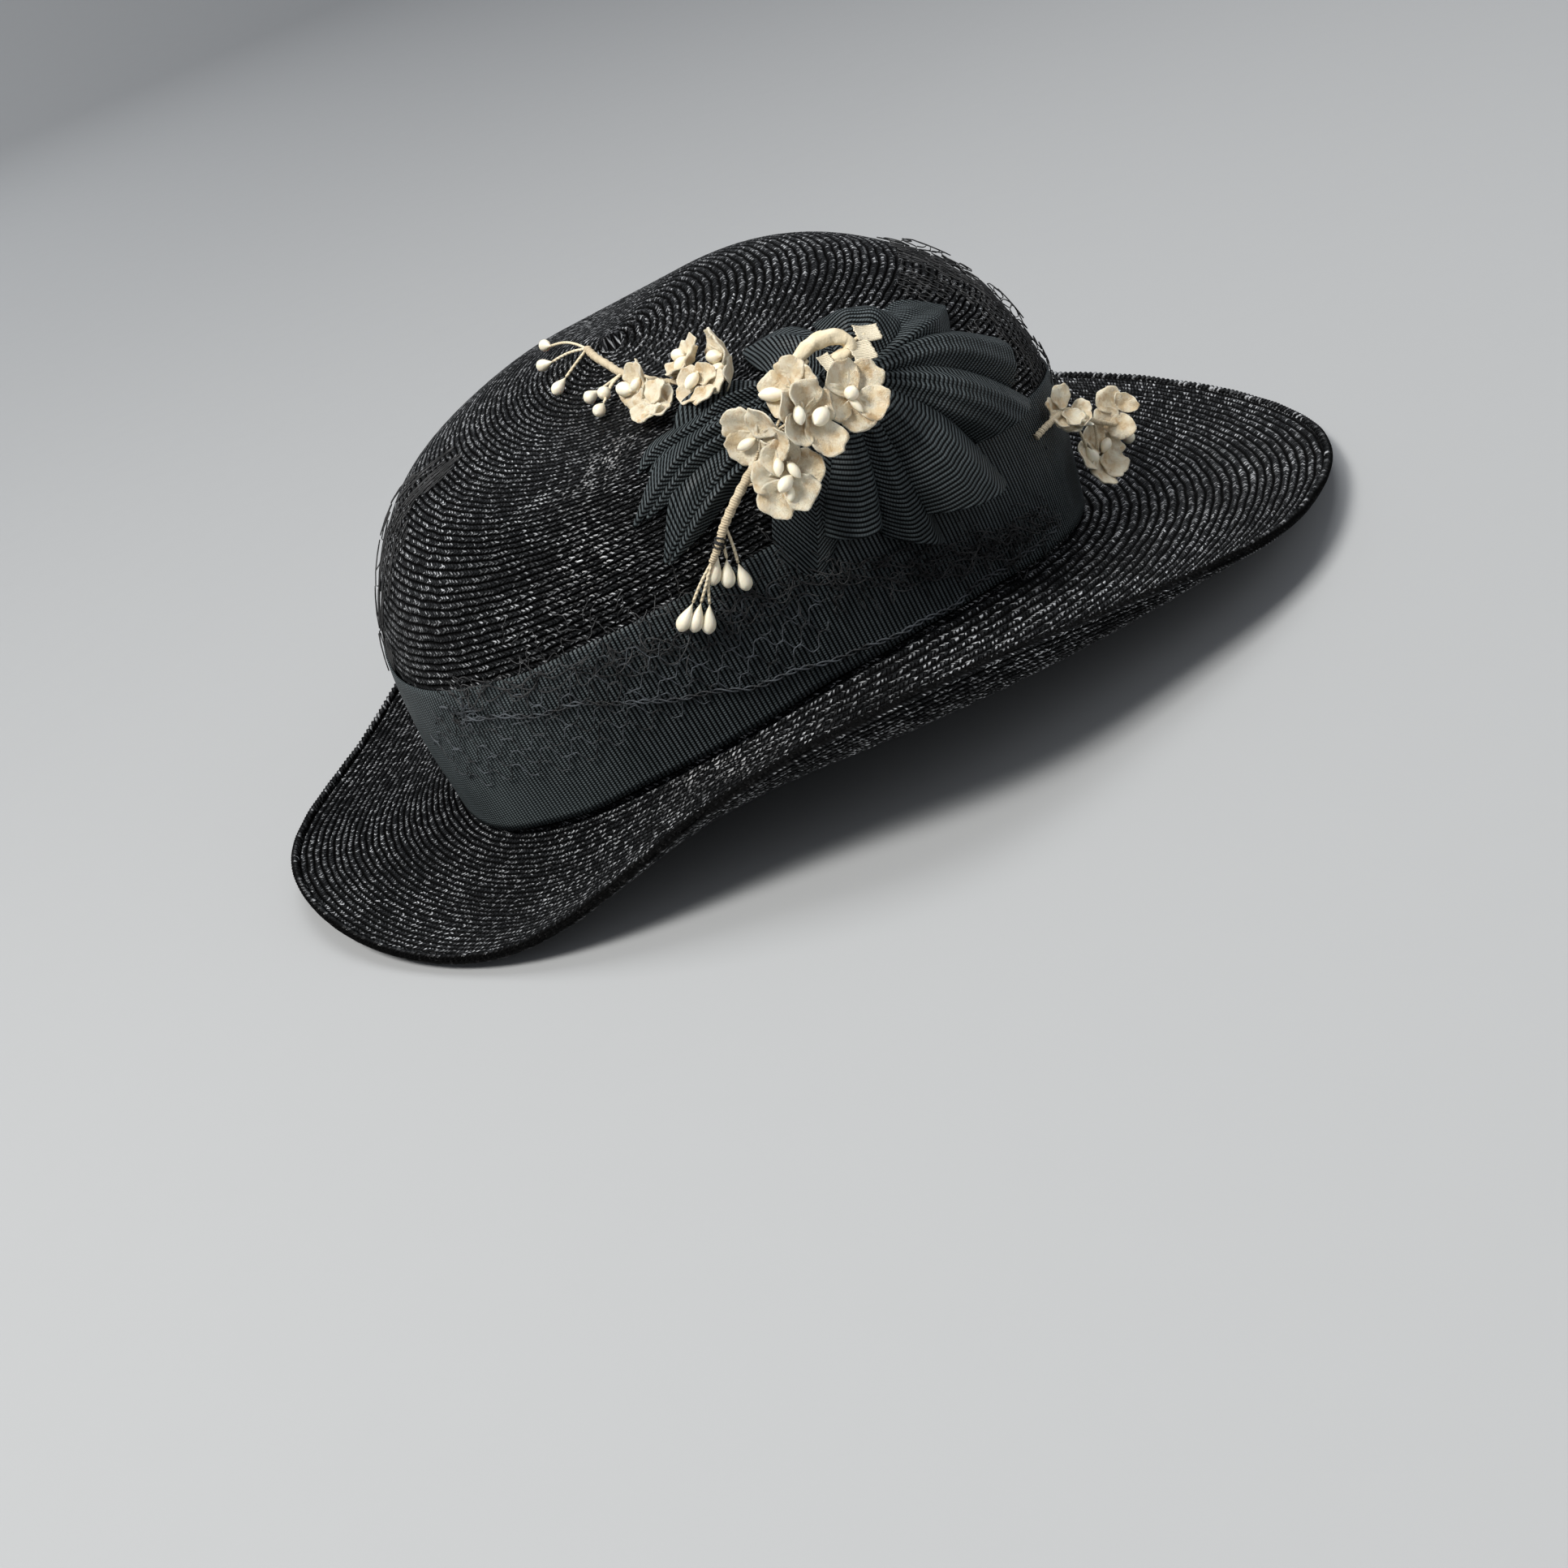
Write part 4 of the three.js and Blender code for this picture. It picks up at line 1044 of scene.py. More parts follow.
@dataclass
class BeadedRim:
    """The covered wire along the brim's edge, whose turns of straw stand out as beads."""

    shop: Workshop
    radius: float = 0.95
    bead: float = 1.8
    swell: float = 0.32
    span: float = 0.985
    lift: float = 1.1
    sides: int = 8

    def build(self) -> None:
        """Carry a beaded tube round the edge; its ends lap at the back."""
        form = self.shop.form
        coarse = np.linspace(0.25 * TURN, 1.252 * TURN, 2000)
        length = run_length(form.brim(np.full(coarse.shape, self.span), coarse))
        beads = int(length[-1] / self.bead)
        angle = np.interp(np.linspace(0, length[-1], beads * 4 + 1), length, coarse)
        span = np.full(angle.shape, self.span)
        rng = np.random.default_rng(8)
        lift = self.lift + 0.12 * waves(rng, angle, np.zeros(1), (23, 41, 67), 0.0)
        path = form.brim_at(span, angle, lift)
        swell = 1 + self.swell * np.cos(np.arange(angle.size) * TURN / 4)
        body = tubes(path[None], form.brim_up(span, angle)[None], (self.radius * swell)[None], self.sides)
        swap = np.array([1 / self.bead, 1.0])
        body = replace(body, quad_uv=body.quad_uv[..., ::-1] * swap, tri_uv=body.tri_uv[..., ::-1] * swap)
        self.shop.piece("rim_beads", body, STRAW, ("rim_wire",))


@dataclass
class RibbonBand:
    """Two-inch grosgrain round the foot of the crown, with upright ribs, a little slack along its foot."""

    shop: Workshop
    top: float = 0.72
    foot: float = 0.98
    thick: float = 0.5
    rib: float = 1.2
    rows: int = 22
    columns: int = 512

    def build(self) -> None:
        """Make the ribbon as a thin ring that stands off the braid a little more toward its foot."""
        form = self.shop.form
        down = np.linspace(0, 1, self.rows)[:, None]
        angle = np.linspace(0, TURN, self.columns, endpoint=False)[None]
        rng = np.random.default_rng(12)
        slack = waves(rng, angle, down * 2, (5, 9, 14), 1.0)
        lift = 0.75 + 0.2 * slack * (0.4 + down) + 0.7 * down**5 + 0.15 * (1 - down) ** 8
        edge = 0.0015 * waves(rng, angle, down, (4, 11, 19), 0.4)
        level = self.top + (self.foot - self.top) * down + edge
        outer = form.crown_at(level, angle, lift + self.thick)
        inner = form.crown_at(level, angle, lift)
        around = np.concatenate([outer, outer[:, :1]], 1)
        run = run_length(around, 1)
        turns = run / run[:, -1:] * round(run[0, -1] / self.rib)
        drop = run_length(around)
        # Painted light: the band is painted paler round its front, the side that faces the key light, through
        # the wear mask; it is a little paler along its foot as well.
        degrees = np.degrees((angle + math.pi) % TURN - math.pi)
        front = np.exp(-(((degrees + 66) / 17) ** 2)) * (0.35 + 0.65 * down)
        wear = np.clip(front + 0.12 * (down > 0.95), 0, 1)
        body = slab(outer, inner, rows_uv(drop, turns), ring=True, wear=wear)
        band = self.shop.piece("band_ribbon", body, BAND_RIBBON, ("ribbon_band",))


class Section(Enum):
    """How a ribbon lies across its width."""

    ARCHED = "arched"
    RIDGED = "ridged"
    FLAT = "flat"


class End(Enum):
    """How a run of ribbon ends."""

    CUT = "cut"
    POINTED = "pointed"


@dataclass(frozen=True)
class RibbonRun:
    """One run of the bow's ribbon, from the knot to its end, over the crown.

    Each spot of the route is a level, an angle in degrees and a lift. Widths and arches are evenly spaced
    along it. The crest is where across the width a ridge stands, from -1 to 1, and the slant is how far the
    ribs lean back from it, as on ribbon folded along its length. Short is the part that a slanting cut takes
    off either edge. An extra run stands for no node of the frame.
    """

    node: str
    route: tuple[tuple[float, float, float], ...]
    widths: tuple[float, ...]
    arches: tuple[float, ...]
    section: Section = Section.RIDGED
    end: End = End.POINTED
    crest: float = 0.0
    slant: float = 0.9
    pleats: float = 0.0
    pleat_depth: float = 0.0
    short: tuple[float, float] = (0.0, 0.0)
    extra: bool = False


BOW_RUNS = (
    RibbonRun("bow_fold_8", ((0.48, 19, 0.8), (0.45, 2, 0.7), (0.47, -14, 0.6)), (10, 27, 15),
              (0.6, 0.8, 0.4), Section.FLAT, slant=0.4, extra=True),
    RibbonRun("bow_fold_1", ((0.46, 27, 1.6), (0.36, 28, 1.8), (0.262, 25, 0.9)), (8, 16, 18), (2.6, 3, 1.6),
              Section.RIDGED, End.POINTED, -0.3, 0.7, 1.5, 0.7),
    RibbonRun("bow_fold_2", ((0.4, 20, 1.2), (0.375, 6.2, 1.2), (0.396, -2.2, 1.1), (0.4, -13.4, 1.0),
                             (0.437, -19.4, 0.7)),
              (4, 6, 7, 6, 5), (3, 3.4, 3.2, 2.4, 1.2), crest=0.15),
    RibbonRun("bow_fold_6", ((0.33, 9, 0.8), (0.345, 0.6, 0.9), (0.328, -6.8, 0.7)), (6, 9, 7), (1.8, 2, 1.2),
              crest=-0.2, pleats=1.5, pleat_depth=0.4, extra=True),
    RibbonRun("bow_fold_9", ((0.44, 16, 1.2), (0.42, 2, 1.1), (0.441, -5, 1.0), (0.437, -12.2, 0.9),
                             (0.452, -17.4, 0.6)),
              (4, 6, 6.5, 6, 4.5), (3, 3.2, 2.8, 2, 1), crest=-0.1, extra=True),
    RibbonRun("bow_fold_3", ((0.46, 18, 1.4), (0.437, -0.2, 1.4), (0.452, -8.2, 1.3), (0.484, -15, 1.1),
                             (0.557, -24.2, 0.7)),
              (4, 7, 8, 7.5, 6), (3.4, 4.2, 4, 3, 1.4), crest=0.1),
    RibbonRun("bow_fold_7", ((0.49, 14, 1.3), (0.474, 0.6, 1.3), (0.481, -6.6, 1.2), (0.508, -13, 1.1),
                             (0.553, -21.4, 0.7)),
              (4, 6, 7, 6.5, 4.5), (3.2, 4, 3.6, 2.8, 1.2), crest=-0.15, extra=True),
    RibbonRun("bow_fold_4", ((0.5, 14, 1.4), (0.508, -0.6, 1.4), (0.531, -7.4, 1.3), (0.575, -14, 1.1),
                             (0.652, -21.8, 0.7)),
              (4, 8, 12, 11, 8), (3.4, 4, 3.2, 2.4, 1.2), crest=0.25, slant=0.6, pleats=1.5,
              pleat_depth=0.35),
    RibbonRun("bow_fold_5", ((0.53, 12, 1.4), (0.552, -2.2, 1.4), (0.575, -8.2, 1.3), (0.617, -14.6, 1.1),
                             (0.66, -21.4, 0.6)),
              (3.6, 6, 6.5, 5.5, 4), (3.4, 4, 3.4, 2.4, 1), crest=-0.1),
    RibbonRun("bow_right_1", ((0.505, 31, 1.6), (0.545, 44, 2.4), (0.64, 56, 1.2)), (5, 12, 15), (5, 6.5, 5),
              Section.ARCHED, End.CUT, 0.2, 0.4, 1.5, 0.7),
    RibbonRun("bow_right_2", ((0.525, 31, 2.2), (0.623, 39.8, 3.2), (0.755, 50.3, 1.4)), (6, 15, 20),
              (5, 8, 8.5), Section.ARCHED, End.CUT, 0.0, 0.2, 2.0, 0.9, short=(0.26, 0.0)),
    RibbonRun("bow_tail_3", ((0.58, 13, 0.9), (0.693, 5.4, 1.0), (0.818, 0.2, 0.9)), (7, 17, 19), (2, 1.6, 1),
              Section.FLAT, End.POINTED, 0.3, 0.8),
    RibbonRun("bow_tail_4", ((0.549, 20.2, 1.2), (0.64, 12.6, 1.4), (0.73, 8.4, 0.9)), (3, 5, 5.5),
              (3, 3.6, 2.6), Section.RIDGED, End.CUT, 0.0, 0.8, extra=True),
    RibbonRun("bow_top_1", ((0.47, 32, 0.8), (0.42, 40, 1.4), (0.37, 47, 0.7)), (9, 22, 25), (4, 7, 3),
              Section.ARCHED, End.POINTED, 0.0, 0.4, 1.5, 0.7),
    RibbonRun("bow_top_2", ((0.485, 34, 0.8), (0.482, 46, 1.4), (0.488, 58.5, 0.7)), (8, 17, 16), (4, 6, 2),
              Section.RIDGED, End.POINTED, -0.35, 0.5, 1.5, 0.6),
    RibbonRun("bow_tail_1", ((0.56, 25.5, 2.0), (0.708, 22.2, 2.4), (0.868, 20.4, 1.0)), (5, 12, 17),
              (3.5, 5.5, 6), Section.ARCHED, End.CUT, 0.2, 0.4, 1.5, 0.7, short=(0.24, 0.0)),
    RibbonRun("bow_right_3", ((0.545, 29, 2.6), (0.69, 30.2, 4.0), (0.835, 33, 3.0)), (7, 21, 26),
              (5, 9.5, 12.5), Section.ARCHED, End.CUT, 0.0, 0.1, 2.0, 0.5, short=(0.27, 0.0)),
    RibbonRun("bow_tail_2", ((0.55, 22, 2.2), (0.661, 16.2, 3.0), (0.762, 11.2, 2.8)), (6, 13, 15.5),
              (4, 6.5, 8.5), Section.ARCHED, End.CUT, -0.2, 0.15, 1.5, 0.6, short=(0.0, 0.04)),
)


@dataclass
class FanBow:
    """The grosgrain bow: folds and tails that fan out over the crown from a gathered knot.

    A pointed end narrows by taper from taper_start on. A ridge's top is rounded by ridge_blunt and lifted by
    ridge_raise. The ribbon's own slow waves have the height ruffle and the numbers ruffle_waves.
    """

    shop: Workshop
    rib: float = 1.25
    thick: float = 0.45
    steps: int = 90
    places: int = 29
    taper: float = 0.93
    taper_start: float = 0.62
    taper_power: float = 1.7
    ridge_blunt: float = 0.004
    ridge_raise: float = 0.03
    arch_power: float = 2.4
    ruffle: float = 0.25
    ruffle_waves: tuple[float, float] = (2.2, 5)
    lean: float = 1.4
    first_rib: float = 40
    knot_spot: tuple[float, float] = (0.5, 27.0)
    knot_radius: float = 7.5
    knot_low: float = 2.0
    knot_high: float = 8.6

    def build(self) -> None:
        """Make the runs from the lowest to the highest, then the knot over their roots."""
        for run in BOW_RUNS:
            self.run_piece(run)
        self.knot_piece()

    def grid(self, run: RibbonRun) -> tuple[Array, Array, Array]:
        """Middle surface of a run of ribbon.

        Across its width a point lies at the part v of the half width, lifted by the arch times a section:
        one less v squared for an arch, or a roof that falls both ways from the crest. Pleats are cosine
        waves across, deepest at the knot. A pointed end narrows by a power of its last part. A slanting
        cut shortens each lengthwise line by a part that changes evenly from edge to edge.

        Args:
            run: The run of ribbon.

        Returns:
            Points, and the pattern coordinates along and across the ribs.
        """
        form = self.shop.form
        part = np.linspace(0, 1, self.steps)
        v = np.linspace(-1, 1, self.places)[None]
        spots = through(np.array(run.route, float), part)
        level, angle, lift = spots[:, 0], np.radians(spots[:, 1]), spots[:, 2]
        here, out = form.crown(level, angle), form.crown_out(level, angle)
        fine = np.linspace(0, 1, 200)
        line = through(np.array(run.route, float), fine)
        ways = np.gradient(form.crown(line[:, 0], np.radians(line[:, 1])), axis=0)
        along = np.stack([np.interp(part, fine, ways[:, k]) for k in range(3)], -1)
        along = unit(along - out * np.einsum("ij,ij->i", along, out)[:, None])
        across = np.cross(out, along)
        half = through(np.array(run.widths, float), part) / 2
        if run.end is End.POINTED:
            end = np.clip((part - self.taper_start) / (1 - self.taper_start), 0, 1)
            half = half * (1 - self.taper * end**self.taper_power)
        arch = through(np.array(run.arches, float), part)[:, None]
        if run.section is Section.RIDGED:
            reach = np.where(v < run.crest, 1 + run.crest, 1 - run.crest)
            shape = 1 - np.sqrt(((v - run.crest) / reach) ** 2 + self.ridge_blunt) + self.ridge_raise
        elif run.section is Section.ARCHED:
            shape = 1 - np.abs(v) ** self.arch_power
        else:
            shape = 0.6 * (1 - v**2) + 0.4 * (v > run.crest) * np.sin(math.pi * (v - run.crest))
        narrow = (half / (max(run.widths) / 2))[:, None]
        pleat = run.pleat_depth * (1.15 - part[:, None]) * np.cos(TURN * run.pleats * (v + 0.2)) * narrow
        across_waves, along_waves = self.ruffle_waves
        wave = self.ruffle * np.sin(across_waves * v + along_waves * part[:, None]) * narrow
        tall = lift[:, None] + arch * shape * np.sqrt(narrow) + pleat + wave
        points = here[:, None] + out[:, None] * tall[..., None] + across[:, None] * (half[:, None] * v)[...,
                None]
        length = run_length(points)[:, self.places // 2][:, None]
        fall = (v - run.crest) ** 2 if run.section is Section.ARCHED else np.abs(v - run.crest)
        ribs = (length + run.slant * fall * half[:, None] * self.lean) / self.rib
        keep = 1 - (run.short[0] * (1 - v) + run.short[1] * (1 + v)) / 2
        row = np.linspace(0, 1, self.steps)[:, None] * keep * (self.steps - 1)
        low = np.minimum(row.astype(int), self.steps - 2)
        rest, column = row - low, np.arange(self.places)[None]
        points = points[low, column] * (1 - rest)[..., None] + points[low + 1, column] * rest[..., None]
        ribs = ribs[low, column] * (1 - rest) + ribs[low + 1, column] * rest
        return points, run_length(points, 1), ribs + self.first_rib

    def run_piece(self, run: RibbonRun) -> None:
        """Make one run as a thin ribbon, and say what it was cut from."""
        points, width, ribs = self.grid(run)
        ahead, aside = np.gradient(points, axis=0), np.gradient(points, axis=1)
        out = unit(np.cross(ahead, aside)) * (self.thick / 2)
        edge = np.linspace(-1, 1, self.places)[None] ** 12
        wear = np.clip(0.35 * edge + 0.3 * (np.linspace(0, 1, self.steps)[:, None] > 0.98), 0, 1)
        wear = np.broadcast_to(wear, width.shape)
        name = run.node.replace("bow_", "bow_ribbon_")
        made = self.shop.piece(name, slab(points + out, points - out, rows_uv(width, ribs), wear=wear),
                               BOW_RIBBON, () if run.extra else (run.node,))

    def knot_piece(self) -> None:
        """Make the knot: a dome whose gathers are waves round it, deepest at its foot."""
        form = self.shop.form
        level, angle = self.knot_spot[0], math.radians(self.knot_spot[1])
        out = form.crown_out(level, angle)
        side = unit(np.cross(out, np.array([0.0, 0.0, 1.0])))
        r = np.linspace(0, 1, 18)[:, None]
        a = np.linspace(0, TURN, 72, endpoint=False)[None]
        gathers = 1 + 0.09 * r * np.cos(8 * a + 0.7 * np.sin(2 * a))
        wide = self.knot_radius * r * gathers
        dome = np.sqrt(1 - 0.999 * r**2) * (1.5 - 0.5 * gathers)
        tall = self.knot_low + (self.knot_high - self.knot_low) * dome
        faces = [form.crown(level, angle) + side * (wide * np.cos(a))[..., None]
                 + np.cross(out, side) * (wide * np.sin(a))[..., None] + out * (tall - drop)[..., None]
                 for drop in (0.0, 0.5)]
        uv = rows_uv(np.linspace(0, 40, 73)[None], r * 9 + 0 * np.zeros((1, 73)))
        self.shop.piece("bow_knot_gathers", slab(faces[0], faces[1], uv, ring=True, pole=True), BOW_RIBBON,
                        ("bow_knot",))


# ---- Flower sprays ---------------------------------------------------------------------------------------
@dataclass(frozen=True)
class Bud:
    """A bud's middle over the crown, and the number of the stem's spot that its wire leaves.

    An extra bud stands for no node of the frame.
    """

    level: float
    angle: float
    lift: float
    leaves: int
    length: float = 8.2
    width: float = 3.7
    extra: bool = False


@dataclass(frozen=True)
class Heart:
    """A small bud or folded scrap that lies in a flower.

    Its turns are in degrees in the flower's plane, from its front side toward the ground.
    """

    turn: float
    reach: float
    length: float
    width: float
    lie: float = 0.0
    stand: float = 0.15


@dataclass(frozen=True)
class Bloom:
    """A flower: its middle over the crown, its radius, the way it faces, and where its wire leaves.

    It faces an azimuth and an elevation in degrees on the upright hat. Sizes are the lengths of its petals
    against the radius, none where a petal is missing. An extra flower stands for no node of the frame.
    """

    level: float
    angle: float
    lift: float
    radius: float
    face: tuple[float, float]
    leaves: int
    spin: float = 0.0
    depth: float = 2.4
    hearts: tuple[Heart, ...] = ()
    stamen: bool = False
    sizes: tuple[float, ...] = (1.0, 0.96, 1.03, 1.0, 0.94)
    extra: bool = False


@dataclass(frozen=True)
class SprayPlan:
    """A spray: the spots its stem passes over, and what it carries."""

    name: str
    radius: float
    stem: tuple[tuple[float, float, float], ...]
    buds: tuple[Bud, ...]
    blooms: tuple[Bloom, ...]


SPRAYS = (
    SprayPlan("spray_top", 1.05,
              ((0.03, -101.5, 2.2), (0.039, -58.3, 2.2), (0.071, -24.6, 2.2), (0.11, -13.8, 2.2),
               (0.177, -2.6, 2.2), (0.213, 1.4, 2.2), (0.27, 9.0, 2.6)),
              (Bud(0.157, -157.2, 2.4, 0, 6.1, 3.3), Bud(0.124, -130.3, 2.4, 0, 6.1, 3.3),
               Bud(0.121, -77.1, 2.4, 0, 6.1, 3.3),
               Bud(0.148, -34.2, 2.4, 3, 5.0, 3.5), Bud(0.160, -24.6, 3.4, 3, 4.6, 3.6),
               Bud(0.201, -27.4, 2.6, 3, 5.2, 3.4, True)),
              (Bloom(0.21, -8.4, 4.0, 6.6, (-80, 35), 4, 0.4, 2.6,
                     (Heart(20, 3.4, 6.4, 3.7, 0), Heart(200, 1.5, 4, 2.6, 60))),
               Bloom(0.236, 9.6, 5.0, 6.2, (-100, 60), 5, 1.1, 3.0,
                     (Heart(10, 3.0, 5.4, 3.2, 20), Heart(150, 2.4, 4.4, 2.8, 90))),
               Bloom(0.306, 15.2, 6.0, 8.2, (-92, 15), 6, 0.2, 3.2,
                     (Heart(-20, 2.6, 5.5, 3.4, 10, 0.5), Heart(60, 2.6, 5.5, 3.4, 40, 0.5)),
                     sizes=(1.1, 0.9, 1, 1, 1.05)),
               Bloom(0.286, -8.8, 3.0, 6.2, (-60, 60), 4, 0.9, 2.2, sizes=(1, 0.9, 0, 1, 1), extra=True),
               Bloom(0.304, -5.4, 3.0, 5.4, (-50, 70), 5, 0.3, 2.0, sizes=(1, 1, 0, 0, 1), extra=True),
               Bloom(0.322, 4.2, 4.0, 6.6, (-40, 60), 5, 0.6, 2.6, (Heart(-30, 2.0, 5.2, 3.0, 60),),
                     sizes=(1, 0.9, 1, 0.8, 1), extra=True))),
    SprayPlan("spray_mid", 1.15,
              ((0.522, 6.6, 10), (0.578, -3.4, 8.5), (0.628, -9.6, 7.2), (0.655, -11.8, 6.5),
               (0.682, -14.6, 5.4)),
              (Bud(0.699, -14.6, 4.2, 2), Bud(0.714, -12.9, 4.2, 2), Bud(0.732, -10.8, 4.2, 2),
               Bud(0.746, -22.6, 4.2, 4), Bud(0.755, -21.0, 4.2, 4), Bud(0.767, -19.4, 4.2, 4)),
              (Bloom(0.538, 21.9, 12, 8.9, (5, 25), 0, 1.08, 2.4,
                     (Heart(-46, 1.2, 3.9, 3.6, 30, 0.5), Heart(60, 2.2, 5.0, 1.9, 100)), True),
               Bloom(0.523, 10.9, 16, 8.5, (20, 10), 0, 0.42, 2.8,
                     (Heart(-25, 2.5, 5.0, 3.0, 60, 0.25), Heart(140, 3.4, 6.2, 4.1, 10, 0.2)),
                     True, (0.9, 1.3, 0.9, 0.9, 1)),
               Bloom(0.478, 14.5, 12, 7.6, (-40, 40), 0, 0.9, 2.6, (Heart(10, 4.4, 7.0, 3.4, -10),), True,
                     (1, 1, 0.9, 1, 1.05)),
               Bloom(0.517, 4.0, 12, 8.6, (-50, 5), 1, 0.3, 3.0, (Heart(10, 3.0, 5.4, 2.6, 15, 0.2),),
                     sizes=(1, 1.05, 1, 1, 1.1)),
               Bloom(0.6, 3.0, 12, 9.4, (0, 15), 1, 0.66, 2.2,
                     (Heart(35, 1.2, 5.4, 3.4, 20, 0.3), Heart(-81, 3.6, 4.6, 2.6, 60),
                      Heart(-152, 2.6, 5.0, 2.6, 100), Heart(75, 3.4, 4.0, 2.2, 60)), True))),
    SprayPlan("spray_back", 0.9,
              ((0.785, 54, 2.6), (0.775, 57, 4.2), (0.775, 63, 6), (0.82, 67, 10), (0.85, 70, 15)),
              (Bud(0.872, 65, 7.5, 2, 7.0, 4.0), Bud(0.88, 71.5, 17, 4, 5.4, 3.6, True)),
              (Bloom(0.772, 61.5, 4.8, 5.8, (25, 30), 2, 0.4, 2.6, sizes=(1, 1, 0, 1.1, 1)),
               Bloom(0.885, 66.5, 8, 9.2, (30, 20), 3, 0.8, 3.2, (Heart(200, 3, 5, 3, 200),),
                     sizes=(1.05, 0.9, 1, 1, 1)),
               Bloom(0.835, 71.5, 16.5, 7.6, (-20, 20), 4, 0.1, 3.0, sizes=(1.1, 1, 0, 0.7, 1.1)),
               Bloom(0.797, 63, 6.5, 5.4, (-10, 50), 2, 1.0, 3.4, (Heart(120, 3.4, 6.5, 1.8, 130, 0.3),),
                     sizes=(0.9, 1, 1, 0, 1), extra=True))),
)
TAPE_LOOP = ((0.43, 16.5, 9.5), (0.43, 19.0, 11.0), (0.425, 23.0, 12.5), (0.428, 25.2, 13.5),
             (0.439, 27.6, 14.0),
             (0.456, 28.6, 13.8), (0.47, 28.0, 12.8), (0.469, 26.4, 12.0), (0.464, 24.2, 11.2))
LOOP_RADII = (0.8, 1.3, 1.8, 2.0, 1.9, 1.6, 1.6, 1.6, 1.3)
TAPE_ENDS = (((0.44, 14.0, 8.0), (0.436, 17.0, 9.6), (0.434, 20.0, 11.0)),
             ((0.456, 13.0, 8.0), (0.448, 17.5, 9.6), (0.44, 21.5, 11.0)),
             ((0.462, 28.6, 12.8), (0.459, 31.0, 12.4), (0.46, 33.0, 12.0)))


@dataclass(frozen=True)
class Tab:
    """A cut end of tape: its middle over the crown, its sides in millimetres and its turn in degrees."""

    level: float
    angle: float
    lift: float
    wide: float
    tall: float
    turn: float


TAPE_TABS = (Tab(0.4605, 33.4, 12.0, 6.2, 4.8, -30), Tab(0.485, 28.8, 13.6, 5.8, 5.6, -18),
             Tab(0.475, 22.6, 12.6, 3.1, 6.6, -5))


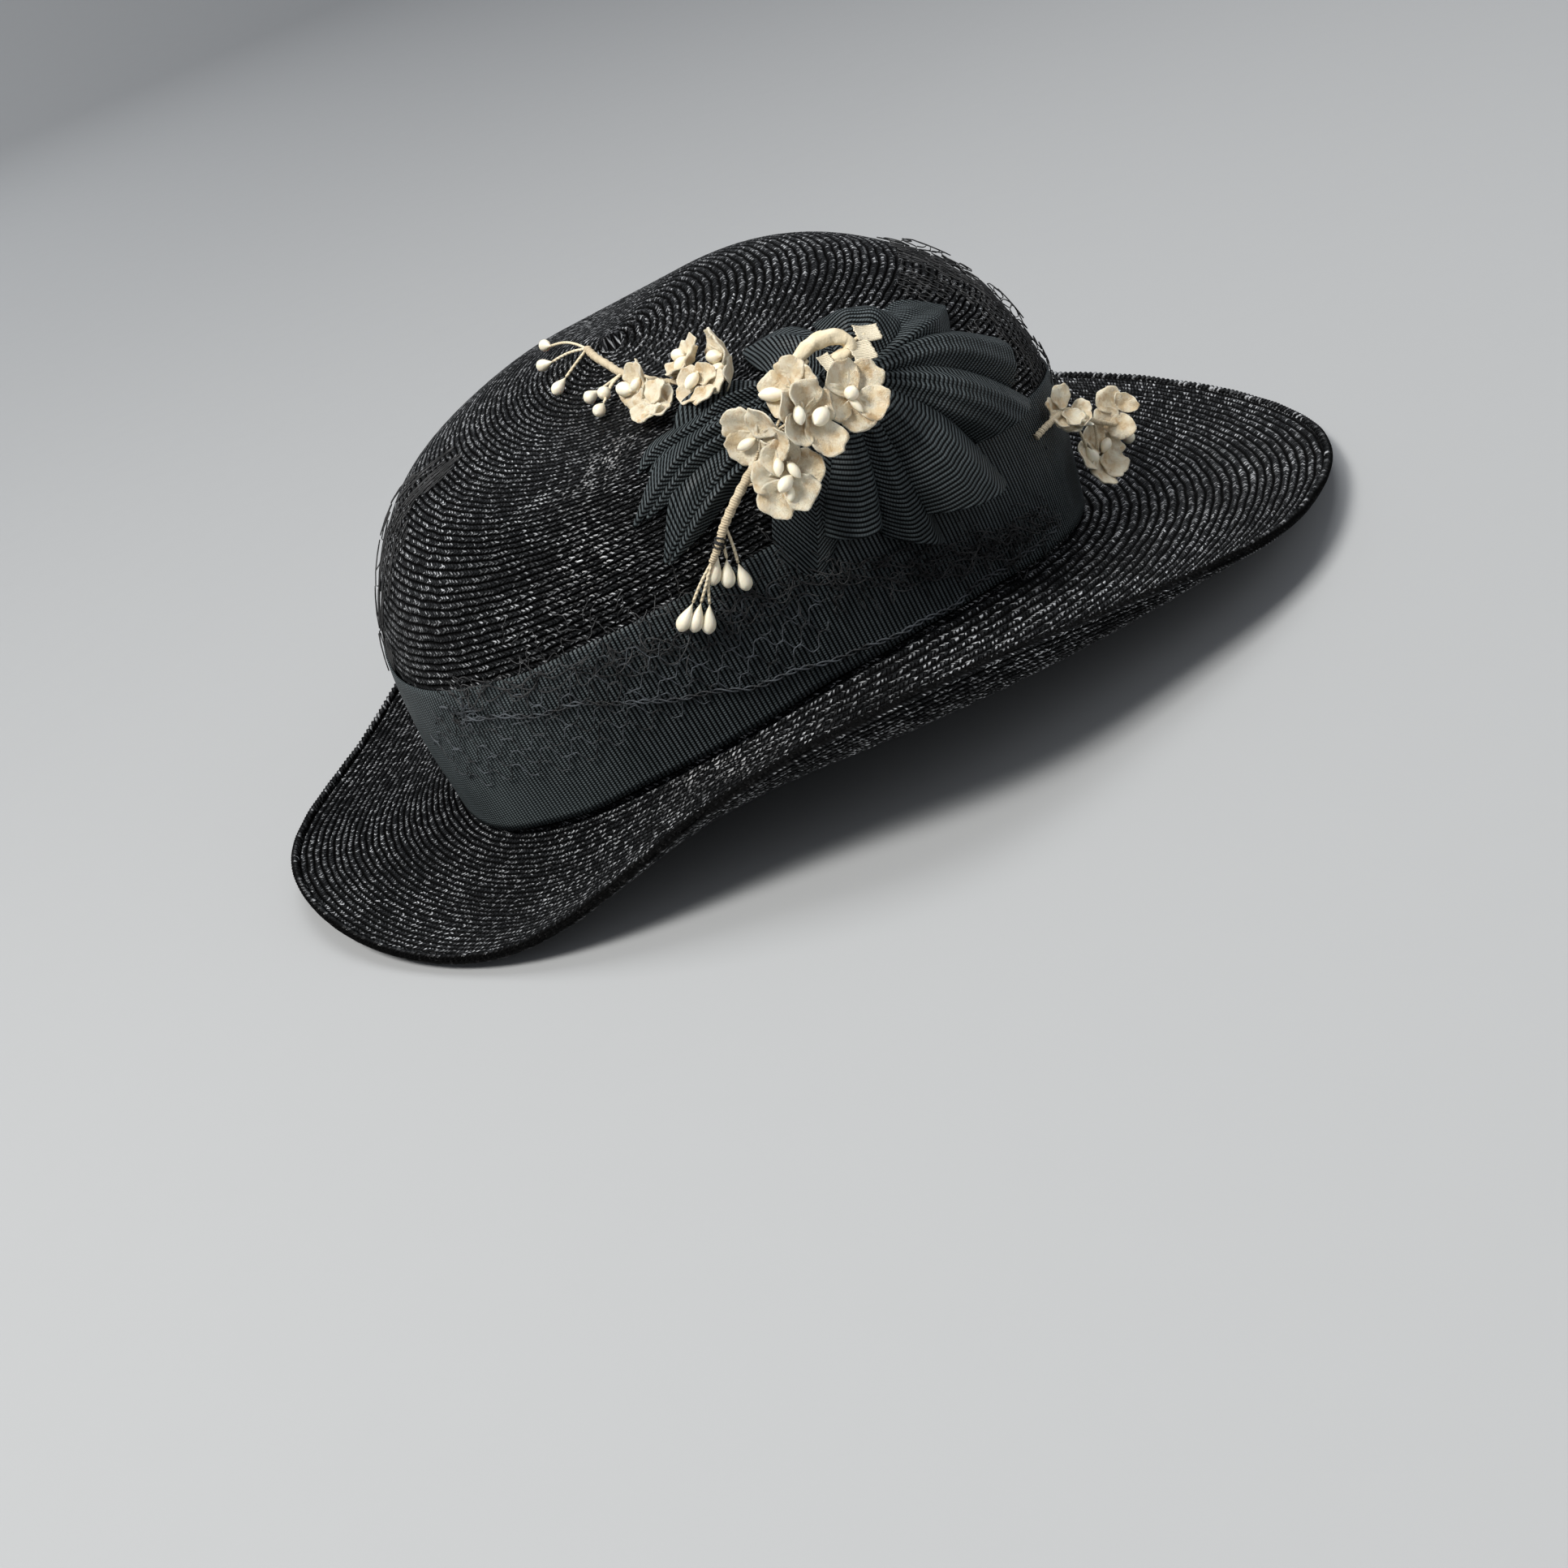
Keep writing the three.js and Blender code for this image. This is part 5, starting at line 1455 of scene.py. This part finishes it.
@dataclass
class FlowerSpray:
    """One spray: velvet flowers and paste buds on wires that leave a wound stem."""

    shop: Workshop
    plan: SprayPlan
    seed: int
    velvet: float = 0.5
    wire: float = 0.38
    rings: int = 10
    spokes: int = 36

    def build(self) -> None:
        """Make the stem with its wires, then each bud and each flower."""
        line = self.spots(np.array(self.plan.stem, float))
        ups = self.outs(np.array(self.plan.stem, float))
        u = np.linspace(0, 1, 90)
        climb = 1 + 0.12 * np.sin(np.arange(90)[:, None] * 1.1 + np.arange(10) * TURN / 5) * np.ones((90, 1))
        climb = climb * (1 - 0.35 * u[:, None] ** 3)
        stem = tubes(through(line, u)[None], through(ups, u)[None], (self.plan.radius * climb)[None], 10)
        wires = [self.wire_body(line[bud.leaves], ups[bud.leaves], self.bud_line(bud, line)[0], n)
                 for n, bud in enumerate(self.plan.buds)]
        self.shop.piece(f"{self.plan.name}_bud_wires", joined(wires), WIRE)
        stalks = [self.wire_body(line[bloom.leaves], ups[bloom.leaves], self.middle(bloom), 20 + n)
                  for n, bloom in enumerate(self.plan.blooms)]
        self.shop.piece(f"{self.plan.name}_wound_stem", joined([stem, *stalks]), TAPE,
                        (f"{self.plan.name}_stem",))
        for n, bud in enumerate(self.plan.buds, 1):
            start, end = self.bud_line(bud, line)
            up = self.outs(np.array([[bud.level, bud.angle, 0.0]]))[0]
            self.shop.piece(f"{self.plan.name}_drop_{n}", self.drop(start, end, up, bud.width), BUDS,
                            () if bud.extra else (f"{self.plan.name}_bud_{n}",))
        for n, bloom in enumerate(self.plan.blooms, 1):
            self.bloom_piece(n, bloom)

    def spots(self, rows: Array) -> Array:
        """Points over the crown, from rows of level, angle in degrees and lift."""
        return self.shop.form.crown_at(rows[..., 0], np.radians(rows[..., 1]), rows[..., 2])

    def outs(self, rows: Array) -> Array:
        """Directions out of the crown at the same rows."""
        return self.shop.form.crown_out(rows[..., 0], np.radians(rows[..., 1]))

    def middle(self, item: Bud | Bloom) -> Array:
        """Middle of a bud or flower."""
        return self.spots(np.array([item.level, item.angle, item.lift]))

    def bud_line(self, bud: Bud, line: Array) -> tuple[Array, Array]:
        """Ends of a bud, which stands in line with its wire."""
        middle = self.middle(bud)
        ahead = unit(middle - line[bud.leaves])
        return middle - ahead * bud.length / 2, middle + ahead * bud.length / 2

    def wire_body(self, start: Array, up: Array, end: Array, number: int) -> Body:
        """Thin wire that bows a little on its way."""
        rng = np.random.default_rng(self.seed * 100 + number)
        u = np.linspace(0, 1, 14)[:, None]
        side = unit(np.cross(end - start, up))
        reach = np.linalg.norm(end - start)
        path = start + (end - start) * u + np.sin(math.pi * u) * reach * (
            side * rng.uniform(-0.06, 0.06) + up * rng.uniform(0.0, 0.06))
        return tubes(path[None], np.broadcast_to(up, path.shape)[None], np.full((1, 14), self.wire), 6)

    @staticmethod
    def drop(start: Array, end: Array, up: Array, width: float, sharp: float = 1.9) -> Body:
        """Teardrop: its radius is a power of the sine of a power of the way, slender at its wire.

        Args:
            start: Its end at the wire.
            end: Its far end.
            up: A direction that doesn't lie along it.
            width: Its greatest width.
            sharp: The power of the way: 1 for an egg, and larger for a drop with a longer neck.

        Returns:
            The closed drop, worn toward its wire.
        """
        u = np.linspace(0, 1, 20)
        t = 0.5 - 0.5 * np.cos(math.pi * u)
        radius = width / 2 * np.sin(math.pi * np.clip(t, 0.01, 0.995) ** sharp) ** 0.62
        radius[0] = 0.4 if sharp > 1.5 else 0.2 * width
        path = start + (end - start) * t[:, None]
        wear = 1 - ease(t / 0.3)
        return tubes(path[None], np.broadcast_to(up + 0.3 * start / 100, path.shape)[None], radius[None], 16,
                     wear[None])

    def petal(self, bloom: Bloom, rng: np.random.Generator, number: int) -> tuple[Array, Array, Array]:
        """One petal in the flower's own directions, as polar rings about the petal's middle.

        The outline is an oval, wider outward, with round lobes along its far edge. The height is the dish's,
        the power of the distance from the flower's middle, with the rim curled back and waves that grow
        toward it.

        Args:
            bloom: The flower.
            rng: Source of the petal's own shape.
            number: Number of the petal.

        Returns:
            Outer face, inner face, and wear mask.
        """
        r = np.linspace(0, 1, self.rings)[:, None]
        a = np.linspace(0, TURN, self.spokes, endpoint=False)[None]
        size = bloom.radius * rng.uniform(0.95, 1.04)
        long = size * bloom.sizes[number]
        outward = 0.5 + 0.5 * np.cos(a)
        lobes = np.abs(np.cos(2.5 * a + rng.uniform(0, math.pi))) ** 0.7 - 0.6
        edge = 1 + outward * (0.13 * lobes + 0.035 * np.cos(9 * a + rng.uniform(0, TURN)))
        x = long * (0.52 + 0.48 * r * np.cos(a) * edge)
        y = size * 0.5 * r * np.sin(a) * (1 + 0.2 * np.cos(a)) * edge
        far = np.hypot(x, y) / bloom.radius
        curl = rng.uniform(0.0, 0.45) * bloom.depth * r**4 * outward
        ruffle = 0.07 * bloom.radius * r**2 * np.sin(2 * a + rng.uniform(0, TURN))
        ruffle = ruffle + 0.05 * bloom.radius * r**3 * np.sin(5 * a + rng.uniform(0, TURN))
        crease = -0.4 * np.exp(-((y / (0.12 * size)) ** 2)) * (1 - r)
        layer = 0.6 if number % 2 else 0.0
        tall = 0.5 + bloom.depth * far**1.5 - curl + ruffle + crease + layer + 0.08 * size * r**2
        spin = bloom.spin + TURN * number / len(bloom.sizes) + rng.uniform(-0.08, 0.08)
        turned = np.stack([x * math.cos(spin) - y * math.sin(spin), x * math.sin(spin) + y * math.cos(spin),
                           tall], -1)
        under = turned - np.array([0, 0, self.velvet])
        wear = np.clip(r**6 * rng.uniform(0.7, 1.0) + 0.5 * np.exp(-far * 5), 0, 1)
        return turned, under, wear

    def bloom_piece(self, number: int, bloom: Bloom) -> None:
        """Make a flower of overlapping petals, and the small buds that lie in it."""
        rng = np.random.default_rng(self.seed * 1000 + number)
        azimuth, height = (math.radians(x) for x in bloom.face)
        out = np.array([math.cos(height) * math.cos(azimuth), math.cos(height) * math.sin(azimuth),
                        math.sin(height)])
        side = unit(np.cross(out, np.array([0.0, 0.0, 1.0])))
        axes, middle = np.stack([side, np.cross(out, side), out]), self.middle(bloom)
        uv = rows_uv(np.linspace(0, 1, self.spokes + 1)[None], np.linspace(0, 1, self.rings)[:, None])
        bodies = []
        for n, size in enumerate(bloom.sizes):
            if size:
                outer, inner, wear = self.petal(bloom, rng, n)
                bodies.append(slab(middle + outer @ axes, middle + inner @ axes, uv, ring=True, pole=True,
                                   wear=wear))
        self.shop.piece(f"{self.plan.name}_petals_{number}", joined(bodies), VELVET,
                        () if bloom.extra else (f"{self.plan.name}_flower_{number}",))
        drops = []
        for heart in bloom.hearts:
            turn, lie = math.radians(heart.turn), math.radians(heart.lie)
            spot = np.array([math.cos(turn) * heart.reach, math.sin(turn) * heart.reach,
                             1.6 + heart.width / 2])
            way = unit(np.array([math.cos(lie), math.sin(lie), heart.stand])) * heart.length / 2
            drops.append(self.drop(middle + (spot - way) @ axes, middle + (spot + way) @ axes, out,
                                   heart.width, 1.1))
        if drops:
            nodes = (f"{self.plan.name}_stamen_{number}",) if bloom.stamen else ()
            self.shop.piece(f"{self.plan.name}_heart_{number}", joined(drops), HEARTS, nodes)


@dataclass
class TapeLoop:
    """The middle spray's taped stems, bent back over its flowers, with cut ends of tape and a tie."""

    shop: Workshop
    tie_spot: tuple[float, float, float] = (0.655, -11.8, 6.5)

    def build(self) -> None:
        """Make the loop, a tube whose tape laps itself, its loose strands, the tabs and the tie thread."""
        line, ups = self.way(TAPE_LOOP)
        u = np.linspace(0, 1, 120)
        a = np.arange(16) * TURN / 16
        turns = (np.arange(120)[:, None] / 19 + a / TURN) % 1.0
        rng = np.random.default_rng(17)
        crumple = 0.09 * waves(rng, a[None] + 0 * u[:, None], u[:, None] * 40, (2, 3, 5), 1.5)
        radii = through(np.array(LOOP_RADII), u)[:, None] * (1 + 0.1 * turns**6 + crumple)
        loop = tubes(through(line, u)[None], through(ups, u)[None], radii[None], 16)
        strands = []
        for route in TAPE_ENDS:
            way, out = self.way(route)
            part = np.linspace(0, 1, 16)
            strands.append(tubes(through(way, part)[None], through(out, part)[None], np.full((1, 16), 0.55),
                                 8))
        self.shop.piece("tape_loop", joined([loop, *strands]), TAPED, ("spray_mid_tape",))
        self.shop.piece("tape_tabs", joined([self.tab_body(tab) for tab in TAPE_TABS]), TAB)
        self.tie_piece()

    def way(self, route: tuple[tuple[float, float, float], ...]) -> tuple[Array, Array]:
        """Points of a route over the crown, and the directions out of it."""
        spots, form = np.array(route, float), self.shop.form
        level, angle = spots[:, 0], np.radians(spots[:, 1])
        return form.crown_at(level, angle, spots[:, 2]), form.crown_out(level, angle)

    def tab_body(self, tab: Tab) -> Body:
        """Thin square of tape, bent a little along one way."""
        form = self.shop.form
        angle = math.radians(tab.angle)
        at, out = form.crown_at(tab.level, angle, tab.lift), form.crown_out(tab.level, angle)
        side = unit(np.cross(out, np.array([0.0, 0.0, 1.0])))
        up = np.cross(out, side)
        c, s = math.cos(math.radians(tab.turn)), math.sin(math.radians(tab.turn))
        x, y = np.meshgrid(np.linspace(-1, 1, 15), np.linspace(-1, 1, 15))
        frayed = 1 + 0.05 * np.sin(11 * y) * np.abs(x) ** 6
        sheet = [at + ((side * c + up * s) * (x * frayed * tab.wide / 2)[..., None]
                       + (up * c - side * s) * (y * tab.tall / 2)[..., None]
                       + out * (0.6 * x**2 + 0.35 * np.sin(2 * y) + drop)[..., None]) for drop in (0.35, 0.0)]
        return slab(sheet[0], sheet[1], rows_uv(x, y * tab.tall / 2))

    def tie_piece(self) -> None:
        """Wrap a few turns of black thread round the middle spray's stem."""
        form = self.shop.form
        level, angle, lift = self.tie_spot
        spot, out = form.crown_at(level, math.radians(angle), lift), form.crown_out(level,
                math.radians(angle))
        ahead = unit(form.crown(level + 0.03, math.radians(angle - 3)) - form.crown(level,
                math.radians(angle)))
        side = unit(np.cross(ahead, out))
        t = np.linspace(0, 4.3 * TURN, 90)
        path = (spot + side * (np.cos(t) * 1.35)[:, None] + out * (np.sin(t) * 1.35)[:, None]
                + ahead * (1.1 * np.sin(t * 0.23) + 0.2 * np.cos(t * 1.7))[:, None])
        self.shop.piece("spray_mid_tie", tubes(path[None], np.broadcast_to(ahead, path.shape)[None],
                                               np.full((1, 90), 0.24), 6), TIE)


# ---- Veil ------------------------------------------------------------------------------------------------
@dataclass(frozen=True)
class NetPatch:
    """A patch of net over the crown: its corners' levels and angles, its lift, and how it is knotted.

    It has rows of zigzag threads with a number of half waves along each. Loose is how far it stands off in
    places, torn is how unevenly its threads end.
    """

    name: str
    nodes: tuple[str, ...]
    levels: tuple[float, float]
    angles: tuple[float, float]
    lift: float
    rows: int
    steps: int
    seed: int
    loose: float = 1.5
    torn: float = 0.25
    sag: float = 0.0


NET_PATCHES = (
    NetPatch("veil_net_front", ("veil_front",), (0.36, 0.74), (-112, -86), 0.6, 6, 14, 21, 1.1, 0.3),
    NetPatch("veil_net_back", ("veil_back",), (0.4, 0.84), (56, 94), 0.6, 24, 28, 22, 1.8, 0.25),
    NetPatch("veil_net_band", (), (0.735, 0.875), (-80, 4), 1.9, 6, 27, 23, 0.8, 0.1, 0.045),
)
BORDER = ((0.761, -66.3), (0.8, -46.7), (0.87, -29.8), (0.935, -9.4), (0.965, 13.4), (0.96, 32), (0.953, 51))
TANGLE = ((0.714, -73), (0.726, -59), (0.77, -31), (0.811, 0), (0.903, 27), (0.938, 51.5))


@dataclass
class VeilRemnants:
    """What is left of the veil: net at the front and back of the crown, and tangled thread along the band."""

    shop: Workshop
    thread: float = 0.16

    def build(self) -> None:
        """Make the net patches, then the border strands, the tangle, and the frayed ends."""
        for patch in NET_PATCHES:
            self.net(patch)
        self.border()
        self.tangle()
        self.frayed()

    def lay(self, level: Array, angle: Array, lift: Array, radius: float) -> Body:
        """Threads over the crown, from grids of level, angle in radians and lift."""
        form = self.shop.form
        level = np.clip(level, 0.03, 0.995)
        paths = form.crown_at(level, angle, np.maximum(lift, 0.35))
        return tubes(paths, form.crown_out(level, angle), np.full(level.shape, radius), 4)

    def net(self, patch: NetPatch) -> None:
        """Zigzag threads, each the mirror of the next, which meet in six-sided cells; the edges are torn."""
        rng = np.random.default_rng(patch.seed)
        row = np.arange(patch.rows)[:, None]
        step = np.linspace(0, 1, patch.steps * 6)[None]
        zigzag = 0.5 * np.clip(1.6 * np.sin(math.pi * patch.steps * step + math.pi * row), -1, 1)
        down = (row + zigzag + 0.5) / patch.rows
        start = rng.uniform(0, patch.torn, (patch.rows, 1))
        stop = rng.uniform(1 - patch.torn, 1.0, (patch.rows, 1))
        along = start + (stop - start) * step
        sway = 0.3 * waves(rng, along * 9, row * 1.0, (1, 2, 3), 0.9) / patch.rows
        level = patch.levels[0] + (patch.levels[1] - patch.levels[0]) * (down + sway) + patch.sag * along
        angle = np.radians(patch.angles[0] + (patch.angles[1] - patch.angles[0]) * along)
        lift = patch.lift + patch.loose * np.clip(waves(rng, along * 7, row * 1.0, (1, 2, 4), 1.1), 0, 1) ** 2
        self.shop.piece(patch.name, self.lay(level, angle, lift, self.thread),
                        NET if patch.nodes else HIGHLIT_NET, patch.nodes)

    def wander(self, rng: np.random.Generator, count: int, steps: int, turn: float) -> tuple[Array, Array]:
        """Wandering ways on a plane: each heads on by a step whose direction drifts at random."""
        heading = rng.uniform(0, TURN, (count, 1)) + np.cumsum(rng.normal(0, turn, (count, steps)), 1)
        return np.cumsum(np.cos(heading), 1), np.cumsum(np.sin(heading), 1)

    def border(self) -> None:
        """The veil's edge: two thicker strands that twist round each other along the band, tied in front."""
        rng = np.random.default_rng(29)
        u = np.linspace(0, 1, 420)[None]
        row = np.arange(2)[:, None]
        spots = through(np.array(BORDER, float), u + 0 * row)
        level = spots[..., 0] + 0.003 * np.sin(u * 150 + math.pi * row) + 0.004 * waves(rng, u * 20,
                row * 0.3, (1, 2, 3), 0.5)
        lift = 2.2 + 0.5 * np.cos(u * 150 + math.pi * row)
        strands = self.lay(level, np.radians(spots[..., 1]), lift, 0.26)
        x, y = self.wander(rng, 14, 24, 0.9)
        knot = self.lay(0.761 + x * 0.0022, np.radians(-66.5 + y * 0.28), 1.6 + 0.12 * np.abs(x), 0.18)
        self.shop.piece("veil_border", joined([strands, knot]), HIGHLIT_NET)

    def tangle(self) -> None:
        """Gathered net along the band: strands that run with it, weave across it and stand off it."""
        rng = np.random.default_rng(31)
        line = np.array(TANGLE, float)
        steps, count = 90, 34
        start, reach = 0.9 * rng.uniform(0, 1, (count, 1)) ** 0.7, rng.uniform(0.1, 0.35, (count, 1))
        u = np.clip(start + reach * np.linspace(0, 1, steps)[None], 0, 1)
        spots = through(line, u)
        wave = waves(rng, u * 30, np.arange(count)[:, None] * 1.0, (1, 2, 3, 5), 2.5)
        level = spots[..., 0] + 0.016 * wave + rng.uniform(-0.024, 0.014, (count, 1))
        angle = spots[..., 1] + 1.2 * waves(rng, u * 46, np.arange(count)[:, None] * 1.0, (1, 3), 2.0)
        lift = 2.2 + 1.3 * waves(rng, u * 38, np.arange(count)[:, None] * 1.0, (1, 2, 4), 2.0)
        strands = self.lay(level, np.radians(angle), lift, self.thread)
        curls_x, curls_y = self.wander(rng, 90, 26, 0.42)
        u = 0.3 + 0.7 * rng.uniform(0, 1, (90, 1)) ** 0.8
        spots = through(line, u)
        level = spots[..., 0] + rng.normal(0, 0.018, (90, 1)) + curls_x * 0.0028
        angle = spots[..., 1] + rng.normal(0, 1.5, (90, 1)) + curls_y * 0.24
        lift = 2.0 + 1.2 * np.sin(np.linspace(0, math.pi, 26))[None] * rng.uniform(0.2, 1.6, (90, 1))
        curls = self.lay(level, np.radians(angle), lift, self.thread * 0.9)
        self.shop.piece("veil_tangle", joined([strands, curls]), NET, ("veil_side",))

    def frayed(self) -> None:
        """Loose ends over the lower crown, under the bow and in front of it."""
        rng = np.random.default_rng(41)
        count, steps = 110, 18
        x, y = self.wander(rng, count, steps, 0.3)
        level = rng.uniform(0.66, 0.78, (count, 1)) + x * 0.003
        angle = rng.uniform(-58, 24, (count, 1)) + y * 0.26
        lift = 0.9 + 1.4 * np.sin(np.linspace(0, math.pi, steps))[None] * rng.uniform(0.1, 1.2, (count, 1))
        self.shop.piece("veil_loose_ends", self.lay(level, np.radians(angle), lift, self.thread * 0.85), NET)


# ---- Studio ----------------------------------------------------------------------------------------------
@dataclass
class Studio:
    """Pale floor that sweeps up into a backdrop all round, with large soft lights."""

    flat: float = 3.0
    sweep: float = 1.5

    def build(self) -> None:
        """Make the backdrop, the lights and the sky."""
        r = np.concatenate([np.linspace(0, self.flat, 12),
                            self.flat + self.sweep * np.sin(np.linspace(0.05, 1.5, 24))])
        z = np.concatenate([np.zeros(12), self.sweep * (1 - np.cos(np.linspace(0.05, 1.5, 24)))])
        a = np.linspace(0, TURN, 96, endpoint=False)[None]
        face = np.stack(np.broadcast_arrays(r[:, None] * np.cos(a), r[:, None] * np.sin(a), z[:, None]), -1)
        uv = rows_uv(np.linspace(0, 1, 97)[None], r[:, None])
        paper = Workshop.mesh("studio_paper",
                              slab(face, face - np.array([0, 0, 0.01]), uv, ring=True, pole=True), PAPER)
        here = (0.0, 0.0, 0.05)
        self.light("key_light", (0.45, -0.9, 1.5), here, 0.5, 36.0, (1.0, 0.985, 0.96))
        self.light("fill_light", (1.1, 1.2, 1.0), here, 1.3, 4.5, (0.94, 0.97, 1.0))
        self.light("top_light", (-0.35, 0.25, 1.7), here, 0.9, 13.0, (0.97, 0.985, 1.0))
        self.light("wall_light", (-1.5, -1.0, 2.0), (-3.4, -2.3, 0.3), 1.6, 50.0, (0.97, 0.985, 1.0))
        self.light("rear_wall_light", (1.6, 1.6, 2.0), (3.4, 2.8, 0.3), 1.6, 40.0, (0.97, 0.985, 1.0))
        world = bpy.data.worlds.new("studio_sky")
        world.use_nodes = True
        sky = world.node_tree.nodes["Background"]
        sky.inputs["Color"].default_value, sky.inputs["Strength"].default_value = (0.86, 0.9, 1.0, 1.0), 0.35
        bpy.context.scene.world = world
        bpy.context.scene.view_settings.view_transform = "Standard"

    @staticmethod
    def light(name: str, place: tuple[float, ...], target: tuple[float, ...], size: float, power: float,
              colour: tuple[float, ...]) -> None:
        """Hang one square area light that faces a target."""
        data = bpy.data.lights.new(name, "AREA")
        data.shape, data.size, data.energy, data.color = "SQUARE", size, power, colour
        lamp = bpy.data.objects.new(name, data)
        lamp.location = place
        lamp.rotation_euler = (Vector(target) - Vector(place)).to_track_quat("-Z", "Y").to_euler()
        bpy.context.scene.collection.objects.link(lamp)


@dataclass
class ViewCamera:
    """Camera that looks down on the trimmed side, rolled so that the front dips to the left."""

    rest: RestFrame
    distance: float = 575.0
    elevation: float = 30.0
    azimuth: float = -11.1
    roll: float = 24.93
    target: tuple[float, float, float] = (0.0, -14.6, -44.9)
    lens: float = 42.86

    def build(self) -> None:
        """Make the camera; its directions are worked out on the upright hat and lean with it."""
        e, a, t = (math.radians(x) for x in (self.elevation, self.azimuth, self.roll))
        back = np.array([math.cos(e) * math.cos(a), math.cos(e) * math.sin(a), math.sin(e)])
        right = unit(np.cross(-back, np.array([0.0, 0.0, 1.0])))
        up = np.cross(right, -back)
        right, up = right * math.cos(t) - up * math.sin(t), right * math.sin(t) + up * math.cos(t)
        axes = self.rest.direction(np.stack([right, up, back])).T
        data = bpy.data.cameras.new("view_camera")
        data.lens, data.sensor_width, data.clip_start, data.clip_end = self.lens, 36.0, 0.01, 50.0
        camera = bpy.data.objects.new("view_camera", data)
        place = self.rest.place(np.array(self.target) + back * self.distance)
        camera.matrix_world = Matrix.Translation(place) @ Matrix(axes.tolist()).to_4x4()
        bpy.context.scene.collection.objects.link(camera)
        bpy.context.scene.camera = camera


def main() -> None:
    """Build the hat's pieces in order, then the studio, and note the sizes."""
    logging.basicConfig(level=logging.INFO, format="%(message)s")
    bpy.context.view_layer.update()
    form = HatForm()
    rest = RestFrame(form)
    shop = Workshop(form, rest)
    ViewCamera(rest).build()
    parts = [StrawCrown(shop), StrawBrim(shop), BeadedRim(shop), RibbonBand(shop), FanBow(shop),
             *(FlowerSpray(shop, plan, seed) for seed, plan in enumerate(SPRAYS, 1)), TapeLoop(shop),
             VeilRemnants(shop)]
    for part in parts:
        part.build()
        log.info("built %s", type(part).__name__)
    Studio().build()


if __name__ == "__main__":
    main()
